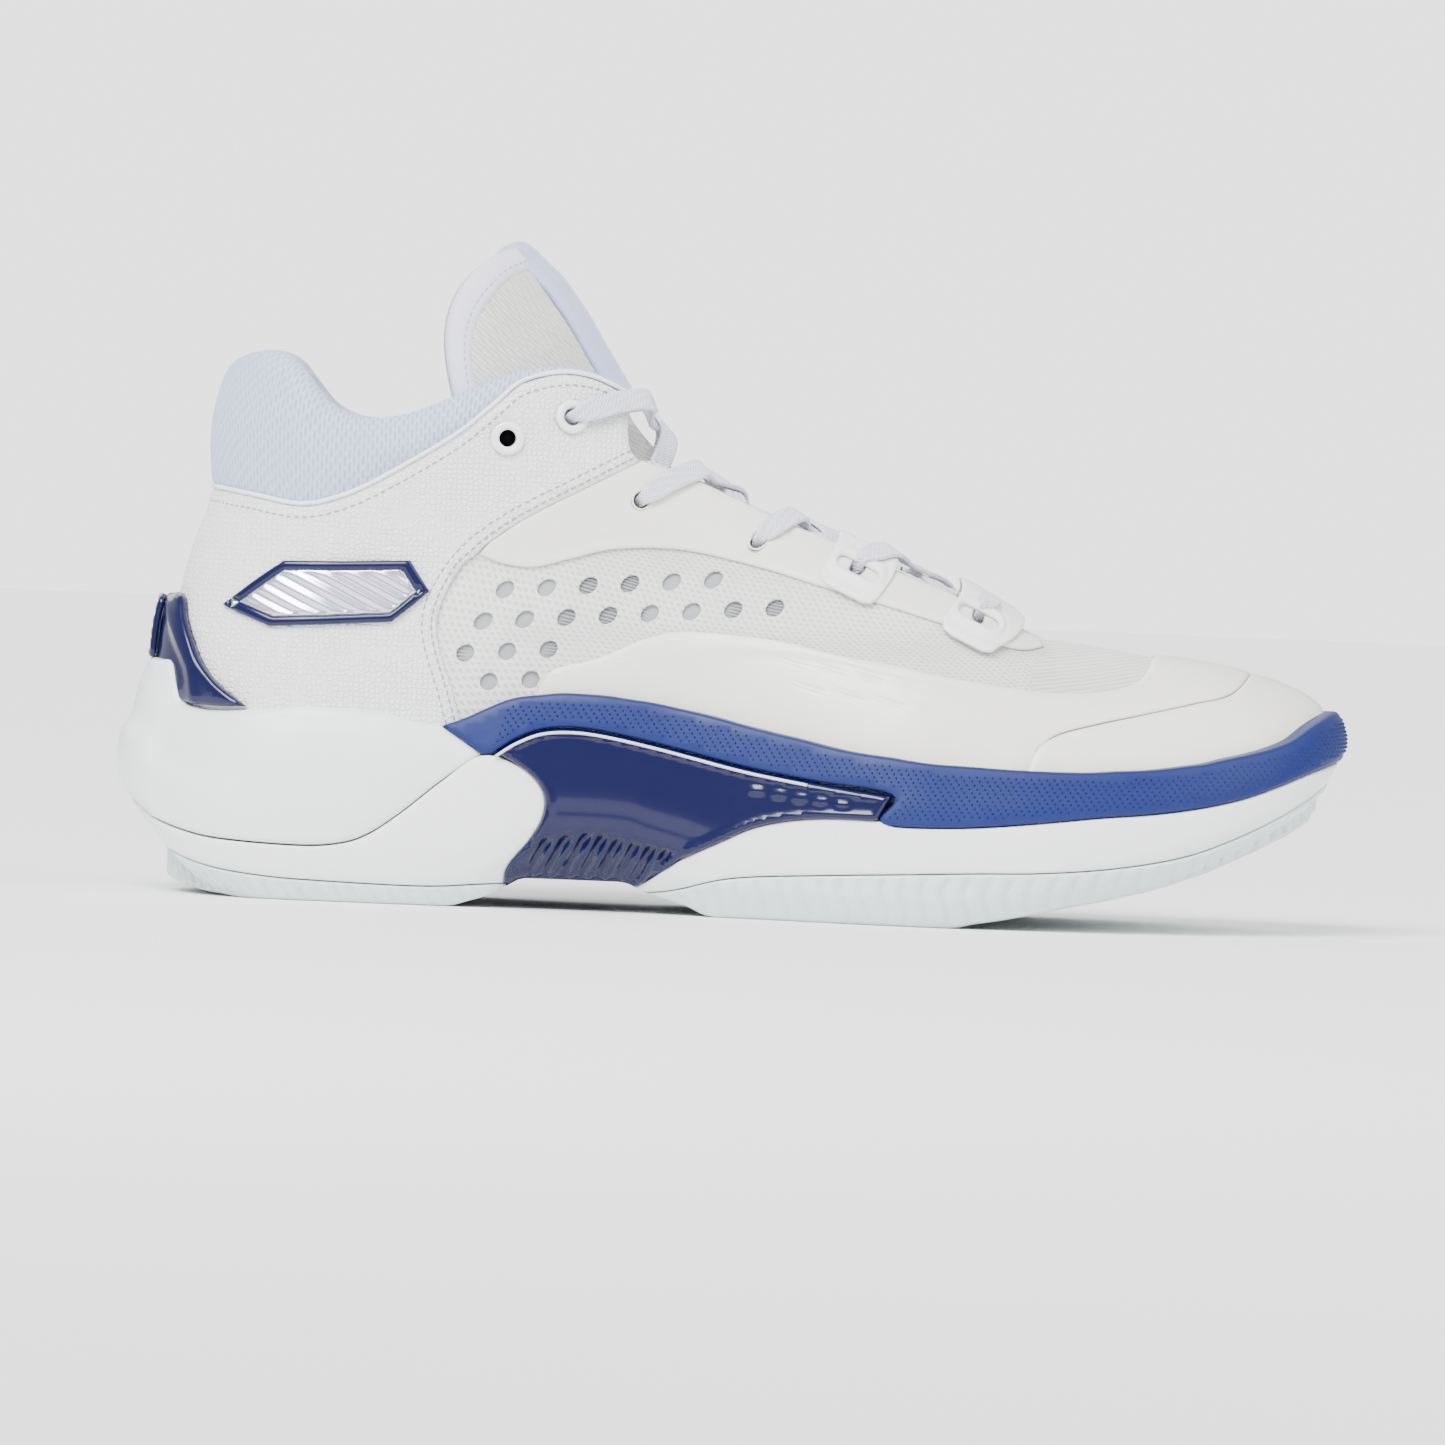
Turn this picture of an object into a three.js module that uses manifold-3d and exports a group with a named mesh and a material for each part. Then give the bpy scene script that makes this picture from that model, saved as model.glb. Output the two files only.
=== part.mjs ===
// A right-foot basketball high top, in millimetres.
// +X points to the toe, +Y to the inner (medial) side and +Z up. The origin is on the ground
// under the middle of the shoe.
//
// The upper is one smooth skin. Every layer of it, from the overlays outside to the tongue
// inside, is a shell between two offsets of that skin, trimmed to an outline drawn in side view.
// The sole is a stack of plan rings, shared out between foam, rubber, shank plate and rand.
import * as THREE from "three";
import { mergeVertices } from "three/addons/utils/BufferGeometryUtils.js";
import Module from "manifold-3d";

const wasm = await Module();
wasm.setup();

// ---------------------------------------------------------------- driving dimensions
const length = 301; // outside length of the sole
const soleWidth = 109; // widest part of the forefoot
const gap = 0.3; // clearance between touching pieces
const quarterThickness = 1.6;
const overlayThickness = 0.8;
const meshThickness = 0.7;
const backingThickness = 0.5;
const counterThickness = 1.2;
const liningThickness = 1.4;
const collarPadding = 8; // how far the ankle padding reaches inward
const laceRoom = 3.6; // free space between lining and tongue, where the lace runs
const tongueFaceThickness = 0.8;
const tonguePadThickness = 3.8;
const clipThickness = 2.4;
const plateThickness = 2.8;
const outsoleThickness = 4.4;
const footbedHeight = 19; // top of the foam, under the lasting board
const boardThickness = 1.8;
const insoleThickness = 5;
const laceWidth = 5.6;
const laceThickness = 1.2;
const laceHoleRadius = 2.1;
const eyeletRingRadius = 4.1;
const eyeletRingHeight = 0.9;
const toeSpring = 18; // how far the toe is lifted
const foldHeight = 133; // the tongue folds forward at this height
const bindingWidth = 5.5;
const strapHalfWidth = 7.5;
const tipLength = 11;
const tipWidth = 2.6;
const tipThickness = 1.8;
const barrelWall = 0.7; // of an eyelet ring's barrel
const badgeThickness = 1.6;
const spineThickness = 1.6;
const flapClearance = 0.85; // between the lining and the lace under it

const half = length / 2;

// The outlines and section tables below are drawn for a shoe of these two sizes, and are stretched
// along and widened to the ones set above.
const drawnLength = 301;
const drawnWidth = 109;
const stretch = length / drawnLength;
const widen = soleWidth / drawnWidth;
const lengthwise = (points) => points.map(([x, value]) => [x * stretch, value]);

// Depths of the layers, counted outward from the skin.
const depth = {
  overlay: [gap, gap + overlayThickness],
  quarter: [gap, gap + quarterThickness],
  mesh: [-meshThickness, 0],
  counter: [-counterThickness, 0],
};
const backingTop = -meshThickness - gap;
depth.backing = [backingTop - backingThickness, backingTop];
const liningTop = Math.min(depth.backing[0], depth.counter[0]) - gap;
depth.lining = [liningTop - liningThickness, liningTop];
const tongueTop = depth.lining[0] - laceRoom;
depth.tongueFace = [tongueTop - tongueFaceThickness, tongueTop];
const tonguePadTop = depth.tongueFace[0] - gap;
depth.tonguePad = [tonguePadTop - tonguePadThickness, tonguePadTop];
depth.tongueBinding = [depth.tonguePad[0] - 0.4, depth.tongueFace[1] + 0.4];
depth.onQuarter = depth.quarter[1] + gap;
depth.onOverlay = depth.overlay[1] + gap;
depth.clip = [depth.onQuarter, depth.onQuarter + clipThickness];

// ---------------------------------------------------------------- curves
// A smooth function through (t, value) points that never overshoots between two of them.
function smooth(points) {
  const t = points.map((p) => p[0]);
  const v = points.map((p) => p[1]);
  const slope = t.slice(1).map((_, i) => (v[i + 1] - v[i]) / (t[i + 1] - t[i]));
  const tangent = v.map((_, i) => {
    if (i === 0) return slope[0];
    if (i === v.length - 1) return slope[i - 1];
    if (slope[i - 1] * slope[i] <= 0) return 0;
    return (2 * slope[i - 1] * slope[i]) / (slope[i - 1] + slope[i]);
  });
  return (x) => {
    if (x <= t[0]) return v[0];
    if (x >= t[t.length - 1]) return v[v.length - 1];
    let i = 0;
    while (x > t[i + 1]) i += 1;
    const h = t[i + 1] - t[i];
    const s = (x - t[i]) / h;
    const a = v[i] + s * h * tangent[i];
    const b = v[i + 1] - (1 - s) * h * tangent[i + 1];
    const blend = s * s * (3 - 2 * s);
    return a * (1 - blend) + b * blend;
  };
}

const clamp01 = (x) => Math.min(1, Math.max(0, x));
const ease = (x) => clamp01(x) ** 2 * (3 - 2 * clamp01(x));
const mix = (a, b, s) => a + (b - a) * s;

// ---------------------------------------------------------------- the skin of the upper
// Heights below are "flat" heights, before the toe is sprung upward.
const toeEnd = half - 4.5;
const springStart = 45 * stretch;
const spring = (x) => toeSpring * clamp01((x - springStart) / (half - springStart)) ** 2;

// Middle line of the shoe in plan: it leans to the inner side at the toe.
const middle = smooth(lengthwise([
  [-150, 1], [-95, 0.6], [-30, -1.5], [10, -2], [55, 0.2], [105, 3], [130, 5], [150, 7.5],
]));

// Top line of the skin along the middle, from the toe back over the instep and up the tongue.
const ridgePoints = [
  [-150, 262], [-110, 232], [-80, 200], [-62, 178], [-52, 165.5], [-43, 153.5], [-35, 141.5],
  [-27, 130], [-19, 119], [-10, 110.5], [0, 104.5], [21, 96], [36, 90], [50, 84.6], [61, 78.6],
  [68, 73.6], [73, 70.4], [78, 68.4], [90, 65.2], [102, 61.2], [112, 57.9], [121, 54.4], [129, 50.4],
  [136, 46], [141, 42], [143.8, 38], [145, 34], [145.6, 28], [toeEnd / stretch, footbedHeight - 2],
];
const ridge = smooth(lengthwise(ridgePoints));
function ridgeX(z) {
  let low = -150 * stretch;
  let high = toeEnd;
  for (let i = 0; i < 40; i += 1) {
    const x = (low + high) / 2;
    if (ridge(x) > z) low = x;
    else high = x;
  }
  return (low + high) / 2;
}

// Back line of the skin.
const heelBack = smooth([
  [17, -137.5], [30, -138.4], [45, -138.4], [60, -137.6], [73, -135.4], [86, -132.2],
  [99, -128.6], [112, -128], [125, -126.6], [140, -124], [185, -118],
].map(([z, x]) => [z, x * stretch]));

// Half width at the feather line, and how the ankle narrows above it.
const featherWidth = smooth(lengthwise([
  [-150, 34], [-95, 34], [-60, 33], [-25, 32], [0, 35], [30, 43], [55, 47.5], [75, 48.5],
]));
const ankleWidth = smooth([
  [17, 0.94], [32, 1], [52, 1], [72, 0.95], [92, 0.9], [110, 0.93], [130, 1], [185, 1],
]);
const archPower = smooth(lengthwise([[-60, 3.2], [-20, 2.5], [20, 2.2], [70, 2.3], [110, 2.7]]));

const toeRound = 62 * stretch; // the plan narrows to the toe from here
function halfWidth(x, z) {
  const floor = footbedHeight - 4;
  const rise = clamp01((z - floor) / (ridge(x) - floor));
  const arch = Math.sqrt(Math.max(0, 1 - rise ** archPower(x)));
  const toe = Math.sqrt(Math.max(0, 1 - clamp01((x - toeRound) / (toeEnd - toeRound)) ** 2.3));
  const back = clamp01((x - heelBack(z)) / 36);
  const heel = Math.sqrt(Math.max(0, 1 - (1 - back) ** 2));
  const ankle = mix(ankleWidth(z), 1, ease((x + 70) / 70));
  return widen * featherWidth(x) * toe * arch * heel * ankle;
}

// A point of the skin: turn 0 is the heel's back, PI the front end on the ridge, and the outer
// (lateral) side comes first.
function skin(turn, z, offset = 0) {
  const base = (a, h) => {
    const back = heelBack(h);
    const front = ridgeX(h);
    const x = (back + front) / 2 - ((front - back) / 2) * Math.cos(a);
    return new THREE.Vector3(x, middle(x) - Math.sign(Math.sin(a)) * halfWidth(x, h), h + spring(x));
  };
  const p = base(turn, z);
  if (offset === 0) return p;
  const e = 1e-3;
  const along = base(turn + e, z).sub(base(turn - e, z));
  const up = base(turn, z + 0.05).sub(base(turn, z - 0.05));
  const normal = up.cross(along).normalize();
  if (normal.y * (p.y - middle(p.x)) + normal.x * -Math.cos(turn) < 0) normal.negate();
  return p.addScaledVector(normal, offset);
}

// The same skin found from its place in side view (x, real height).
function turnAt(x, z) {
  const back = heelBack(z);
  const front = ridgeX(z);
  return Math.acos(Math.min(1, Math.max(-1, 1 - (2 * (x - back)) / (front - back))));
}
function skinAt(x, height, side, offset = 0) {
  const z = height - spring(x);
  const turn = turnAt(x, z);
  return skin(side < 0 ? turn : 2 * Math.PI - turn, z, offset);
}

// ---------------------------------------------------------------- meshes and solids
// A closed body through rings of points; ring point i faces ring point count - i across the shoe.
function loft(rings) {
  const count = rings[0].length;
  const positions = rings.flat().flatMap((p) => [p.x, p.y, p.z]);
  const index = [];
  for (let r = 0; r + 1 < rings.length; r += 1) {
    for (let i = 0; i < count; i += 1) {
      const j = (i + 1) % count;
      const [a, b, c, d] = [r * count + i, r * count + j, (r + 1) * count + j, (r + 1) * count + i];
      index.push(a, b, c, a, c, d);
    }
  }
  const top = (rings.length - 1) * count;
  for (let i = 0; i < count / 2; i += 1) {
    const [a, b, c, d] = [i, i + 1, (count - i - 1) % count, (count - i) % count];
    for (const [p, q, s] of [[a, b, c], [a, c, d]]) {
      if (p === q || q === s || s === p) continue;
      index.push(s, q, p);
      index.push(top + p, top + q, top + s);
    }
  }
  const geometry = new THREE.BufferGeometry();
  geometry.setAttribute("position", new THREE.Float32BufferAttribute(positions, 3));
  geometry.setIndex(index);
  return geometry;
}

function solid(geometry) {
  const bare = geometry.clone();
  for (const name of ["normal", "uv"]) bare.deleteAttribute(name);
  const merged = mergeVertices(bare, 1e-4);
  const vertProperties = new Float32Array(merged.attributes.position.array);
  const triVerts = new Uint32Array(merged.index.array);
  const corner = (i) => new THREE.Vector3().fromArray(vertProperties, triVerts[i] * 3);
  let volume = 0;
  for (let i = 0; i < triVerts.length; i += 3) {
    volume += corner(i).dot(corner(i + 1).cross(corner(i + 2))) / 6;
  }
  if (volume < 0) triVerts.reverse();
  return new wasm.Manifold(new wasm.Mesh({ numProp: 3, vertProperties, triVerts }));
}

const ringCount = 20;
const turns = Array.from({ length: ringCount }, (_, i) => (2 * Math.PI * i) / ringCount);
const skinLevels = [30, 42, 53, 64, 78, 94, 110, 126, 142, 156];

// The solid inside the skin moved out by offset (a number, or a function of x), between two heights.
function skinSolid(offset, bottom = footbedHeight + gap, top = 170) {
  const levels = [bottom, ...skinLevels.filter((z) => z > bottom + 1 && z < top - 1), top];
  return solid(loft(levels.map((z) => turns.map((a) => {
    if (typeof offset === "number") return skin(a, z, offset);
    return skin(a, z, offset(skin(a, z).x));
  }))));
}
const skinCache = new Map();
function filled(offset) {
  if (!skinCache.has(offset)) skinCache.set(offset, skinSolid(offset));
  return skinCache.get(offset);
}
function shell([inner, outer]) {
  return filled(outer).subtract(skinSolid(inner, footbedHeight - 2, 171));
}

// A side-view outline drawn across the whole shoe. Points are [x, z]; a nested list is a curve.
function outlinePoints(parts, step = 10) {
  const points = [];
  for (const part of parts) {
    if (typeof part[0] === "number") {
      points.push(new THREE.Vector2(part[0] * stretch, part[1]));
    } else {
      const curve = new THREE.SplineCurve(part.map(([x, z]) => new THREE.Vector2(x * stretch, z)));
      points.push(...curve.getSpacedPoints(Math.max(2, Math.round(curve.getLength() / step))));
    }
  }
  const apart = points.filter((p, i) => i === 0 || p.distanceTo(points[i - 1]) > 0.4);
  if (apart[0].distanceTo(apart[apart.length - 1]) < 0.4) apart.pop();
  return apart.filter((p, i) => {
    const before = apart[(i + apart.length - 1) % apart.length];
    const after = apart[(i + 1) % apart.length];
    return Math.abs(p.clone().sub(before).cross(after.clone().sub(p))) > 1e-3;
  });
}
function grow(points, by) {
  const turnSum = points.reduce((sum, p, i) => sum + p.cross(points[(i + 1) % points.length]), 0);
  const way = Math.sign(turnSum) * by;
  return points.map((p, i) => {
    const before = points[(i + points.length - 1) % points.length];
    const after = points[(i + 1) % points.length];
    const a = p.clone().sub(before).normalize();
    const b = after.clone().sub(p).normalize();
    const normal = new THREE.Vector2(a.y + b.y, -a.x - b.x).normalize();
    const lean = Math.max(0.5, normal.x * a.y - normal.y * a.x);
    return p.clone().addScaledVector(normal, way / lean);
  });
}
function prism(parts, by = 0, yFrom = -90, yTo = 90) {
  const points = grow(outlinePoints(parts), by);
  const geometry = new THREE.ExtrudeGeometry(
    new THREE.Shape(points), { depth: yTo - yFrom, bevelEnabled: false },
  );
  geometry.rotateX(Math.PI / 2).translate(0, yTo, 0);
  return solid(geometry);
}
function halfSpace(side, away = gap / 2) {
  const box = new THREE.BoxGeometry(400, 100, 400);
  box.translate(0, side * (50 + away), 100);
  return solid(box);
}

// ---------------------------------------------------------------- side-view lines
const collarLine = [
  [-131, 99.4], [-120, 97.8], [-108, 96], [-99, 97.8], [-89, 102.5], [-71, 113.8], [-61, 122.4],
  [-55, 127.8],
];
const quarterTopEdge = [[-55, 127.8], [-46, 130.4], [-38, 129.8], [-31, 127], [-28.4, 125.2]];
const quarterThroat = [[-28.4, 125.2], [-28.2, 117], [-27.4, 112.6], [-25, 110]];
const seamUpper = [[-25, 110], [-37, 103.5], [-52, 95.2], [-61, 88.8], [-64, 86]];
const seamLower = [
  [-64, 86], [-68, 82.2], [-72, 74], [-73, 68], [-72, 62], [-69, 53.5], [-66, 44], [-61, 30], [-58, 16],
];
const throatEdge = [
  [-25, 110], [-15, 107.2], [0, 101], [13, 95.6], [21, 92.8], [36, 86.4], [50, 81.4], [64, 74.8],
  [74, 70.6],
];
const eyestayLow = [
  [75, 69.2], [70, 68.2], [63, 69.4], [50, 73.6], [30, 79], [19, 81.7], [4, 85.6], [-14, 88.8],
  [-30, 88.4], [-41, 85.6], [-50, 83.2], [-58, 83.8], [-64, 86],
];
const filmTop = [
  [-49, 50], [-45, 58], [-34, 61.6], [-22, 67], [-12, 69], [8, 68], [24, 65], [38, 63], [50, 60.8],
  [61, 59.4], [74, 58], [86, 58.2], [94, 59.8], [99, 62.4], [103, 70],
];
const capTop = [
  [70, 36], [73, 43.6], [78, 47.6], [87, 50.4], [99, 53.3], [111, 56.2], [121, 59], [128, 66],
];
const collarTop = [
  [-134, 128], [-130, 130], [-125.5, 133], [-119, 134.3],
  [-113, 132.4], [-108, 127], [-102, 120.8], [-94, 117.6],
  [-85, 118.2], [-76, 121.6], [-65, 127.2], [-56, 131],
  [-46, 132.6], [-38, 131.8], [-32, 129.2], [-27.6, 126.4],
];
const tongueRear = [
  [-66, 100], [-70, 112], [-72, 124], [-73.6, 132],
  [-74.2, 139], [-73, 146.4], [-69.5, 153], [-64.5, 158],
  [-58, 161.2], [-52, 163],
];
const tongueLow = [[76, 62], [60, 62.5], [35, 70], [5, 78], [-25, 86], [-50, 92], [-66, 100]];
const soleTop = smooth(lengthwise([
  [-150.5, 57], [-143.6, 56], [-142, 50], [-139, 46.8], [-132, 45.2], [-119, 45.8], [-100, 47.2],
  [-85, 46.3], [-71, 43.8], [-63, 47.2], [-49, 52], [-38, 52.9], [-26, 52.1], [-14, 50.3], [12, 44.8],
  [37, 40.8], [56, 39.4], [81, 38.9], [93, 39.5], [112, 41.4],
  [124, 43.9], [137, 47.4], [145, 52], [150.5, 55],
]));
const soleBottom = smooth(lengthwise([
  [-150.5, 14], [-146, 10], [-140, 5.3], [-132, 2.1], [-124, 0.7], [-113, 0], [-72, 0], [-62, 1.8],
  [-54, 5.4], [-48, 7.6], [-27, 7.6], [-20, 5.2], [-10, 2.4], [-2, 0], [52, 0], [60, 1.3], [70, 3.2],
  [82, 5.9], [95, 8.9], [113, 14.4], [122, 18.2], [132, 22.8],
  [138, 26], [144, 30.6], [148, 36], [150.5, 42],
]));
const cupParting = [
  [-156, 23.6], [-150, 22.2], [-144, 19], [-135, 16],
  [-125, 14.2], [-105, 13.4], [-95, 14.2], [-88, 16.6],
  [-80, 22.2], [-70, 30.6], [-61, 37.1],
];
const plateTop = [
  [-57.6, 37.9], [-53, 41], [-47, 43.6], [-40, 44.4], [-32, 43.8], [-19, 41.4], [2, 36.8], [18, 34.2],
  [38.4, 31.6],
];
const plateFront = [[38.4, 31.6], [35.2, 25.4]];
const plateLow = [[35.2, 25.4], [20, 25.2], [7, 22.8], [-3, 18.2], [-12, 13.6], [-19, 8.6], [-24, 5.5]];
const plateRear = [
  [-54.5, 6], [-53.6, 10.4], [-48.6, 17], [-45.8, 22],
  [-45.2, 27], [-47.4, 31.4], [-52, 35], [-57.6, 37.9],
];
const randLowFront = [
  [35.2, 25.4], [40, 24.4], [56, 24.7], [72, 26.2], [89, 28.3], [103, 29.7], [115, 31.6], [125, 34],
  [134, 37.2], [143, 40.9], [156, 45.6],
];
const outsoleTopHeel = [
  [-156, 19], [-150, 16.4], [-145, 12.6], [-138, 9.8], [-128, 7.2], [-115, 5.7], [-101, 5], [-75, 4.6],
  [-60, 5.6], [-54.5, 6],
];
const outsoleTopFront = [
  [-23, 4.6], [-14, 6], [0, 9.6], [21, 11.4], [57, 13.4], [76, 14.2], [94, 16], [110, 19], [122, 23.2],
  [134, 29], [144, 35.4], [152, 41],
];

// ---------------------------------------------------------------- the sole as one body
const soleSide = smooth(lengthwise([
  [-150, 42], [-95, 42], [-60, 40.4], [-25, 39.5], [0, 42.4], [30, 50], [55, 54.2], [68, drawnWidth / 2],
]));
const soleHalfWidth = (x) => {
  const heel = Math.sqrt(Math.max(0, 1 - (1 - clamp01((x + half) / 46)) ** 2.2));
  const toe = Math.sqrt(Math.max(0, 1 - clamp01((x - 66 * stretch) / (half - 66 * stretch)) ** 2.3));
  return widen * soleSide(x) * heel * toe;
};
function soleEdge(turn) {
  const x = -half * Math.cos(turn);
  return new THREE.Vector2(x, middle(x) - Math.sign(Math.sin(turn)) * soleHalfWidth(x));
}
// How far the wall stands inside the widest outline, from the bottom (0) to the top edge (1).
const wallSide = smooth([[0, 7], [0.08, 4], [0.2, 1], [0.36, 0], [0.6, 0.6], [0.8, 2], [1, 3.8]]);
const wallBack = smooth([
  [0, 13], [0.08, 7.5], [0.2, 2.4], [0.36, 0], [0.5, 0.2], [0.66, 3.2], [0.82, 4.6], [1, 6.6],
]);
function solePoint(turn, share, inset, lift) {
  const p = soleEdge(turn);
  const q = soleEdge(turn + 1e-3).sub(soleEdge(turn - 1e-3)).normalize();
  const back = ease((-p.x / stretch - 105) / 40);
  const move = mix(wallSide(share), wallBack(share), back) + inset;
  const x = p.x + q.y * -move;
  const y = p.y + q.x * move;
  const low = soleBottom(x) + lift;
  return new THREE.Vector3(x, y, low + share * (soleTop(x) + 2 - low));
}
function soleSolid(inset = 0, lift = 0) {
  const shares = [0, 0.08, 0.2, 0.36, 0.66, 1];
  const soleTurns = Array.from({ length: 36 }, (_, i) => (2 * Math.PI * i) / 36);
  return solid(loft(shares.map((s) => soleTurns.map((a) => solePoint(a, s, inset, lift)))));
}

const soleBody = soleSolid();
const soleClearance = (x) => mix(depth.onQuarter, depth.onOverlay, ease((x / stretch + 34) / 8));
const footRoom = skinSolid(soleClearance, footbedHeight, 171);
const topLine = (from, to) => Array.from(
  { length: 9 }, (_, i) => mix(from, to, i / 8),
).map((x) => [x, soleTop(x * stretch)]);
const cupOutline = [
  cupParting, [-60.6, 37.1], [-70.6, 43.7],
  [...topLine(-70.6, -112)], [...topLine(-116, -140)], [-142, 50], [-143.4, 56], [-156, 57],
];
const randOutline = [
  [-70.6, 43.7], [...topLine(-70, -36)], [...topLine(-34, 60)], [...topLine(62, 145)], [146, 54], [156, 55],
  [...randLowFront].reverse(), [...plateFront].reverse(), [...plateTop].reverse(), [-60.6, 37.1],
];
const plateOutline = [plateTop, plateFront, plateLow, [-24, -6], [-54.5, -6], plateRear];
const heelOutsoleOutline = [outsoleTopHeel, [-54.5, -6], [-156, -6]];
const frontOutsoleOutline = [outsoleTopFront, [158, 44], [158, -6], [-23.5, -6]];

// ---------------------------------------------------------------- the assembly
const shoe = new THREE.Group();
const colours = {
  foam: [0xeef3f5, 0.55], rubber: [0xdfe9ea, 0.3], navy: [0x101a52, 0.15], rand: [0x1d3a8c, 0.5],
  quarter: [0xf4f5f3, 0.6], collar: [0xdbe6f2, 0.85], mesh: [0xf3f3f0, 0.8], film: [0xf6f6ec, 0.45],
  lining: [0xe9edf2, 0.9], board: [0xd8d2c4, 0.9], strap: [0xb9c1e0, 0.8], lace: [0xe6e8f6, 0.85],
  badge: [0xb9cfe2, 0.2], ring: [0xf7f9fa, 0.4], tongue: [0xe8e8e2, 0.85],
};

// The largest separate body of a solid: crumbs that a cut leaves behind are dropped.
function largest(body) {
  const mesh = body.getMesh();
  const parent = Array.from({ length: mesh.numVert }, (_, i) => i);
  const root = (i) => {
    while (parent[i] !== i) i = parent[i] = parent[parent[i]];
    return i;
  };
  for (let t = 0; t < mesh.triVerts.length; t += 3) {
    for (const k of [1, 2]) parent[root(mesh.triVerts[t])] = root(mesh.triVerts[t + k]);
  }
  const groups = new Map();
  for (let t = 0; t < mesh.triVerts.length; t += 3) {
    const key = root(mesh.triVerts[t]);
    if (!groups.has(key)) groups.set(key, { corners: [], volume: 0 });
    const group = groups.get(key);
    const [a, b, c] = [0, 1, 2].map((k) => {
      const v = mesh.triVerts[t + k];
      group.corners.push(v);
      return new THREE.Vector3().fromArray(mesh.vertProperties, v * mesh.numProp);
    });
    group.volume += a.dot(b.cross(c)) / 6;
  }
  const best = [...groups.values()].sort((a, b) => b.volume - a.volume)[0];
  const kept = [...new Set(best.corners)];
  const place = new Map(kept.map((v, i) => [v, i]));
  return {
    positions: new Float32Array(kept.flatMap((v) => [...mesh.vertProperties.slice(
      v * mesh.numProp, v * mesh.numProp + 3,
    )])),
    index: new Uint32Array(best.corners.map((v) => place.get(v))),
  };
}

function add(name, body, finish) {
  const { positions, index } = largest(body);
  const geometry = new THREE.BufferGeometry();
  geometry.setAttribute("position", new THREE.BufferAttribute(positions, 3));
  geometry.setIndex(new THREE.BufferAttribute(index, 1));
  const [color, roughness] = colours[finish];
  const piece = new THREE.Mesh(
    geometry, new THREE.MeshStandardMaterial({ color, roughness, metalness: 0 }),
  );
  piece.name = name;
  shoe.add(piece);
}
const sides = [["lateral", -1], ["medial", 1]];

// Sole
const cupZone = prism(cupOutline, gap / 2);
const randZone = prism(randOutline, gap / 2);
const plateRoom = soleSolid(plateThickness + gap, plateThickness + gap);
const rubberRoom = soleSolid(outsoleThickness + gap, outsoleThickness + gap);
const soleWall = soleBody.subtract(footRoom);
const foamCore = soleWall
  .subtract(cupZone)
  .subtract(randZone)
  .subtract(prism(plateOutline, gap / 2).subtract(plateRoom))
  .subtract(prism(heelOutsoleOutline, gap / 2).subtract(rubberRoom))
  .subtract(prism(frontOutsoleOutline, gap / 2).subtract(rubberRoom));
add("midsole_foam", foamCore, "foam");
add("heel_foam_cup", soleWall.intersect(prism(cupOutline, -gap / 2)), "foam");
add("forefoot_rand", soleWall.intersect(prism(randOutline, -gap / 2)), "rand");
const plateShell = soleWall.subtract(soleSolid(plateThickness, plateThickness));
add("shank_plate", plateShell.intersect(prism(plateOutline, -gap / 2)), "navy");
const rubberShell = soleWall.subtract(soleSolid(outsoleThickness, outsoleThickness));
add("heel_outsole", rubberShell.intersect(prism(heelOutsoleOutline, -gap / 2)), "rubber");
add("forefoot_outsole", rubberShell.intersect(prism(frontOutsoleOutline, -gap / 2)), "rubber");

// Footbed
const insideLining = depth.lining[0] - 2 * gap;
const boardTop = footbedHeight + gap + boardThickness;
add("lasting_board", skinSolid(insideLining, footbedHeight + gap, boardTop), "board");
const insoleTop = boardTop + gap + insoleThickness;
add("insole", skinSolid(insideLining, boardTop + gap, insoleTop), "lining");

// ---- the lace: one flat band, from the bottom bar up through each pair of holes
// The places where it dives through the upper, from the toe up, and the surface it lies on there.
const stops = [
  { at: [58.5, 75.6], top: depth.onOverlay + overlayThickness },
  { at: [28.5, 86.2], top: depth.onOverlay + overlayThickness },
  { at: [4, 91.2], top: depth.overlay[1] },
  { at: [-25, 100.1], top: depth.overlay[1] },
  { at: [-43, 119.5], top: depth.onQuarter + eyeletRingHeight },
];
const emptyRingPlace = [-58, 114.1];
const tuckedEnd = [-55, 95];
const underFlap = depth.lining[0] - flapClearance - laceThickness / 2;
const holeStep = 3.6; // a band is narrowed to fit a hole this far to either side of it
const strandHeight = -2.5; // of the lower strand, where two strands cross over the tongue

const high = (stop) => stop.top + 1.5 * gap + laceThickness / 2;

// A place drawn in side view, on the shoe as long as it is set.
const placeOf = ([x, z]) => [x * stretch, z];

// How far inside the skin a point lies, smooth across the ridge; and the outward normal there.
function inside(p) {
  return halfWidth(p.x, p.z - spring(p.x)) ** 2 - (p.y - middle(p.x)) ** 2;
}
function normalAt(p) {
  const e = 0.05;
  const n = new THREE.Vector3();
  for (const k of ["x", "y", "z"]) {
    const a = p.clone();
    const b = p.clone();
    a[k] -= e;
    b[k] += e;
    n[k] = inside(a) - inside(b);
  }
  return n.normalize();
}
function castToSkin(from, direction) {
  let near = 0;
  let far = 90;
  for (let i = 0; i < 40; i += 1) {
    const s = (near + far) / 2;
    if (inside(from.clone().addScaledVector(direction, s)) > 0) near = s;
    else far = s;
  }
  return from.clone().addScaledVector(direction, near);
}
const throatHeight = smooth(lengthwise([[-27.4, 112.6], [-25, 110], ...throatEdge.slice(1)]));
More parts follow.
